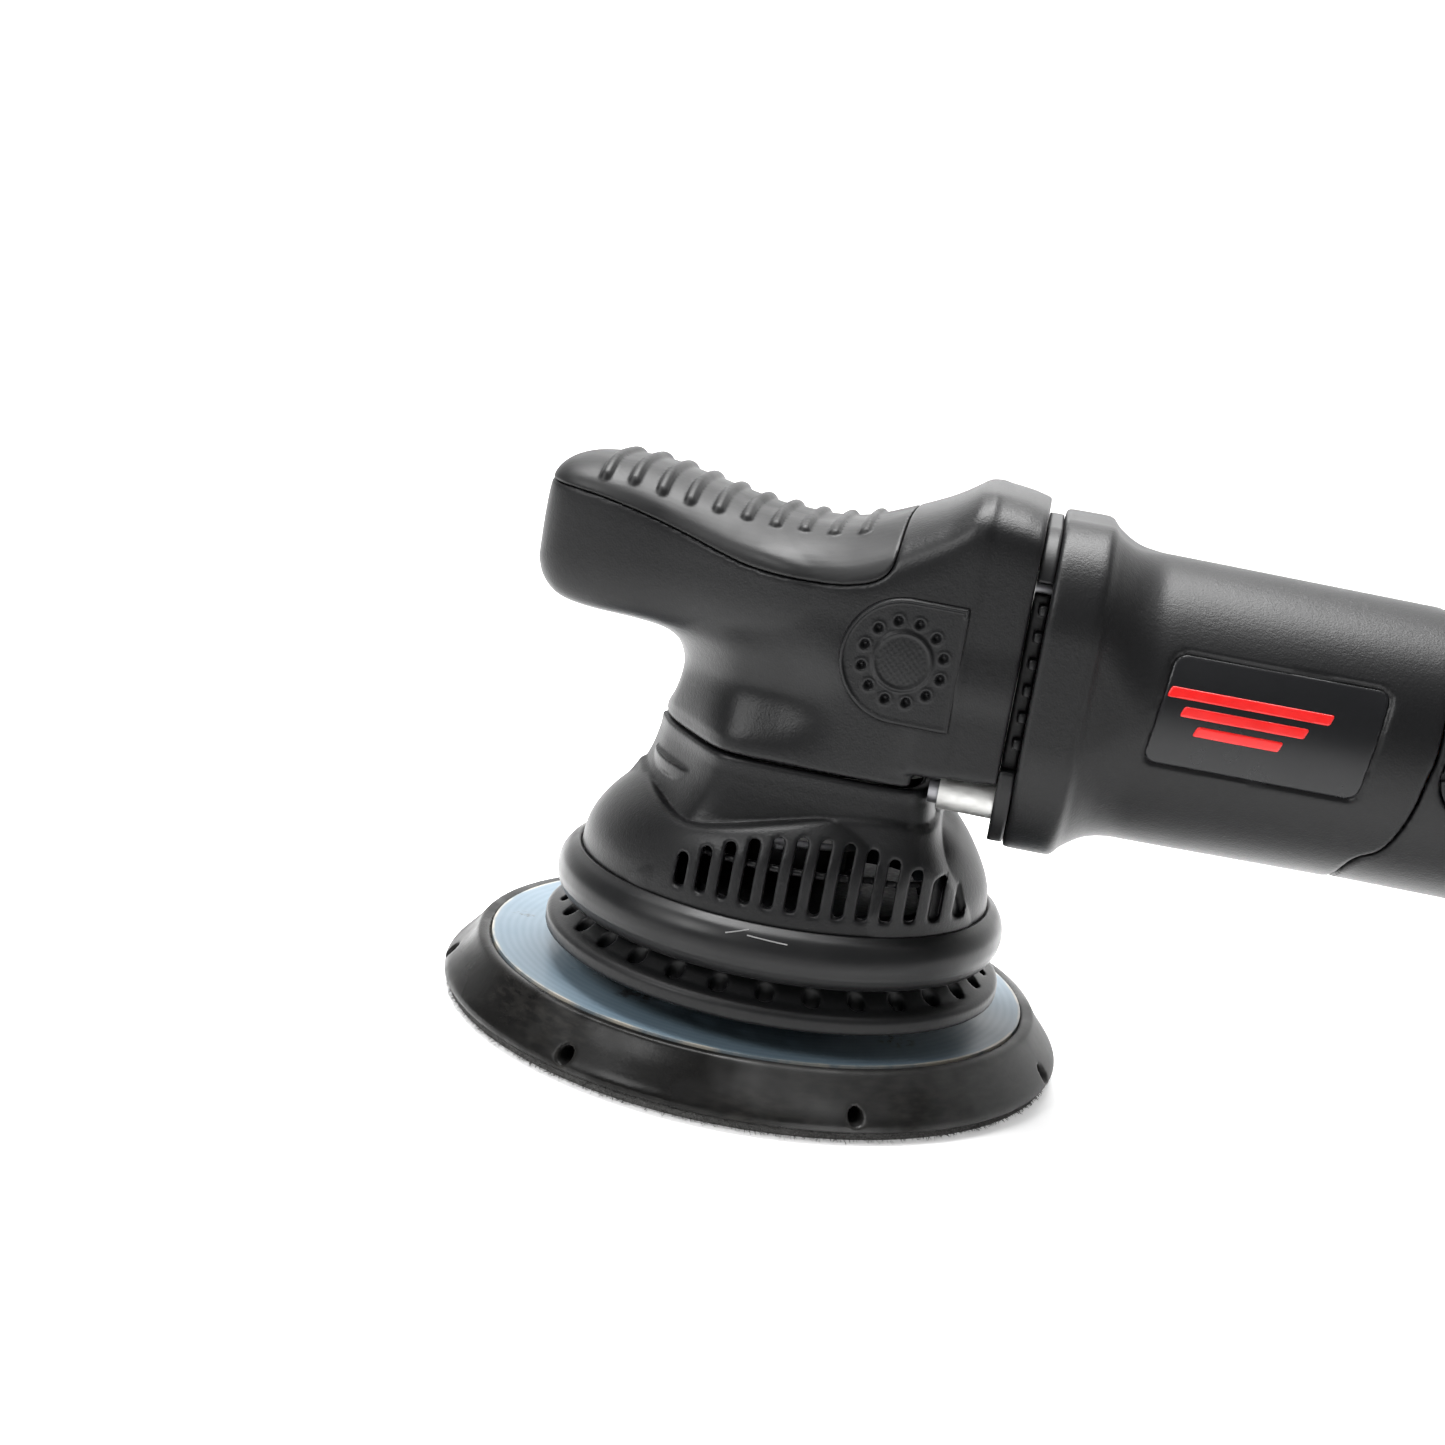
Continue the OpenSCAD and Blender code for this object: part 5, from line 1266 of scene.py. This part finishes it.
def scuffed_disc():
    """Blue-grey plastic disc, hazed by turning scratches, with rubbed dark patches."""
    paint = Paint("disc_plastic", (0.165, 0.245, 0.315), 0.4, specular=0.5)
    mapping = paint.add("ShaderNodeMapping")
    mapping.inputs["Location"].default_value = (-PLATE_X * MM, -PLATE_Y * MM, 0)
    paint.link(paint.place, mapping.inputs["Vector"])
    paint.place = mapping.outputs["Vector"]
    rings = paint.add("ShaderNodeTexWave", wave_type="RINGS", rings_direction="Z")
    rings.inputs["Scale"].default_value = 170
    rings.inputs["Distortion"].default_value = 1.2
    rings.inputs["Detail"].default_value = 3
    paint.link(paint.place, rings.inputs["Vector"])
    cloud = paint.noise(34, 5.0)
    base = paint.mix(cloud, (0.082, 0.124, 0.160), (0.120, 0.168, 0.206))
    blot = paint.noise(95, 7.0, rough=0.62)
    spot = paint.range(blot, 0.655, 0.70, 0, 1)
    grit = paint.range(paint.noise(1500, 4.0), 0.45, 0.6, 0.2, 1)
    mark = paint.maths("MULTIPLY", spot, grit)
    colour = paint.mix(mark, base, (0.035, 0.033, 0.032))
    split = paint.add("ShaderNodeSeparateXYZ")
    paint.link(paint.place, split.inputs[0])
    flat = paint.add("ShaderNodeCombineXYZ")
    paint.link(split.outputs["X"], flat.inputs["X"])
    paint.link(split.outputs["Y"], flat.inputs["Y"])
    for x, y, size in DISC_SCUFFS:
        gap = paint.add("ShaderNodeVectorMath", operation="DISTANCE")
        paint.link(flat.outputs["Vector"], gap.inputs[0])
        gap.inputs[1].default_value = ((x - PLATE_X) * MM, (y - PLATE_Y) * MM, 0)
        near = paint.range(gap.outputs["Value"], size * 0.6 * MM, size * MM, 0.9, 0)
        rubbed = paint.maths("MULTIPLY", near,
            paint.range(paint.noise(330, 8.0, rough=0.75), 0.5, 0.53, 0, 1))
        colour = paint.mix(rubbed, colour, (0.022, 0.022, 0.023))
    fine = paint.range(rings.outputs["Fac"], 0.0, 1.0, 0, 0.09)
    colour = paint.mix(fine, colour, (0.30, 0.37, 0.42))
    radius = paint.add("ShaderNodeVectorMath", operation="LENGTH")
    paint.link(flat.outputs["Vector"], radius.inputs[0])
    rim = paint.range(radius.outputs["Value"], 64.0 * MM, 64.6 * MM, 0, 1)
    worn_rim = paint.maths("MULTIPLY", rim, paint.range(paint.noise(110, 4.0), 0.4, 0.6, 0.15, 0.8))
    paint.set_colour(paint.mix(worn_rim, colour, (0.42, 0.38, 0.31)))
    paint.set_roughness(paint.range(cloud, 0.3, 0.7, 0.3, 0.5))
    low = paint.bump(rings.outputs["Fac"], 0.000012, 0.5)
    paint.bump(mark, 0.00006, 0.7, low)
    return paint.material


def hook_sheet_cloth():
    paint = Paint("hook_weave", (0.05, 0.05, 0.05), 0.9, specular=0.2)
    weave = paint.add("ShaderNodeTexVoronoi")
    weave.inputs["Scale"].default_value = 1300
    paint.link(paint.place, weave.inputs["Vector"])
    cloud = paint.noise(80, 4.0)
    paint.set_colour(paint.mix(cloud, (0.035, 0.035, 0.035), (0.07, 0.069, 0.066)))
    paint.bump(weave.outputs["Distance"], 0.0003, 0.8)
    return paint.material


def fibre():
    paint = Paint("hook_fibre", (0.07, 0.068, 0.066), 0.6)
    paint.set_colour(paint.mix(paint.noise(900, 2.0), (0.04, 0.04, 0.04), (0.13, 0.125, 0.12)))
    paint.set_roughness(paint.range(paint.noise(700, 2.0), 0.3, 0.7, 0.5, 0.8))
    paint.bump(paint.noise(6000, 1.0), 0.00001, 0.5)
    return paint.material


def plain_with_grain(name, colour, roughness, metallic=0.0, grain=1500, height=0.00002, spread=0.2):
    paint = Paint(name, colour, roughness, metallic=metallic)
    low = tuple(c * (1 - spread) for c in colour)
    high = tuple(min(1, c * (1 + spread)) for c in colour)
    tint = paint.mix(paint.noise(90, 5.0), low, high)
    paint.set_colour(paint.mix(paint.edge(0.53, 0.62), tint,
        tuple(min(1, c * 1.35 + 0.01) for c in colour)))
    paint.set_roughness(paint.range(paint.noise(260, 4.0), 0.3, 0.7, max(0.05, roughness - 0.1),
        roughness + 0.12))
    paint.bump(paint.noise(grain, 2.0), height, 0.6)
    return paint.material


def wound_copper():
    """Enamelled wire: fine strands from a stretched wave."""
    paint = Paint("wound_copper", (0.45, 0.16, 0.06), 0.3, metallic=0.8)
    strands = paint.add("ShaderNodeTexWave", wave_type="BANDS", bands_direction="Y")
    strands.inputs["Scale"].default_value = 900
    strands.inputs["Distortion"].default_value = 0.6
    paint.link(paint.place, strands.inputs["Vector"])
    paint.set_colour(paint.mix(strands.outputs["Fac"], (0.24, 0.07, 0.025), (0.62, 0.25, 0.1)))
    paint.set_roughness(paint.range(paint.noise(300, 3.0), 0.3, 0.7, 0.24, 0.42))
    paint.bump(strands.outputs["Fac"], 0.00015, 0.8)
    return paint.material


def stacked_sheets():
    paint = Paint("stacked_sheets", (0.3, 0.3, 0.31), 0.4, metallic=0.9)
    sheets = paint.add("ShaderNodeTexWave", wave_type="BANDS", bands_direction="X")
    sheets.inputs["Scale"].default_value = 650
    paint.link(paint.place, sheets.inputs["Vector"])
    paint.set_colour(paint.mix(sheets.outputs["Fac"], (0.14, 0.14, 0.15), (0.36, 0.36, 0.37)))
    paint.set_roughness(paint.range(paint.noise(300, 3.0), 0.3, 0.7, 0.3, 0.55))
    paint.bump(sheets.outputs["Fac"], 0.0001, 0.7)
    return paint.material


panel_gloss = gloss_panel()
stripe_paint = red_print()
foam_skin = plate_foam()
disc_plastic = scuffed_disc()
hook_weave = hook_sheet_cloth()
hook_fibre = fibre()
arrow_mark = plain_with_grain("arrow_mark", (0.13, 0.13, 0.13), 0.5)

SLOT_PAINT = {
    "housing_black": housing_plastic,
    "grip_rubber": grip_rubber,
    "trim_black": trim_plastic,
    "cast_alloy": cast_alloy,
    "bright_steel": bright_steel,
    "dark_steel": dark_steel,
    "laminations": stacked_sheets(),
    "copper": wound_copper(),
    "brass": turned_metal("drawn_brass", (0.72, 0.52, 0.2), 0.3),
    "carbon": plain_with_grain("pressed_carbon", (0.03, 0.03, 0.032), 0.55, 0.2, 2500),
    "fan_white": plain_with_grain("fan_plastic", (0.62, 0.62, 0.6), 0.5),
    "label_black": panel_gloss,
    "stripe_red": stripe_paint,
    "disc_blue": disc_plastic,
    "foam_black": foam_skin,
    "hook_dark": hook_weave,
    "switch_blue": plain_with_grain("switch_plastic", (0.03, 0.08, 0.2), 0.45),
    "board_green": plain_with_grain("circuit_board", (0.02, 0.16, 0.07), 0.4, 0.0, 900, 0.00004),
    "dial_red": plain_with_grain("dial_plastic", (0.55, 0.04, 0.03), 0.38),
}
INNER_NODES = ("fan_baffle", "brush_carrier", "rear_bearing_spider")
# hub and counterweight inside the shroud, given the dark iron colour as painted shade
SHADE_DARKENED_NODES = ("eccentric_hub", "counterweight")


def node_slots():
    out = {}
    for entry in frame["record"]["subparts"]:
        out[entry["node"]] = entry["material_slot"]
    return out


def dress_cad_nodes():
    """Rounded edges and a real material on every CAD node that is still shown."""
    slots = node_slots()
    for name, obj in frame["nodes"].items():
        slot = slots.get(name)
        paint = inner_plastic if name in INNER_NODES else SLOT_PAINT.get(slot, housing_plastic)
        # painted shade: the parts inside the shroud get the darkened iron colour
        if name in SHADE_DARKENED_NODES:
            paint = shade_darkened_iron
        obj.data.materials.clear()
        obj.data.materials.append(paint)
        if obj.hide_render:
            continue
        weld = obj.modifiers.new("weld", "WELD")
        weld.merge_threshold = 0.000004
        size = min(obj.dimensions)
        bevel = obj.modifiers.new("soft_edges", "BEVEL")
        bevel.width = min(0.00025, size * 0.06)
        bevel.segments = 2
        bevel.limit_method = "ANGLE"
        bevel.angle_limit = math.radians(38)
        bevel.use_clamp_overlap = True
        split = obj.modifiers.new("crisp", "EDGE_SPLIT")
        split.split_angle = math.radians(42)
        for face in obj.data.polygons:
            face.use_smooth = True


build_head()
build_badges()
build_motor()
build_air_ring()
build_shroud()
build_bumper()
build_skirt()
build_foam()
build_hook_face()
build_handle()
dress_cad_nodes()

bpy.context.view_layer.update()
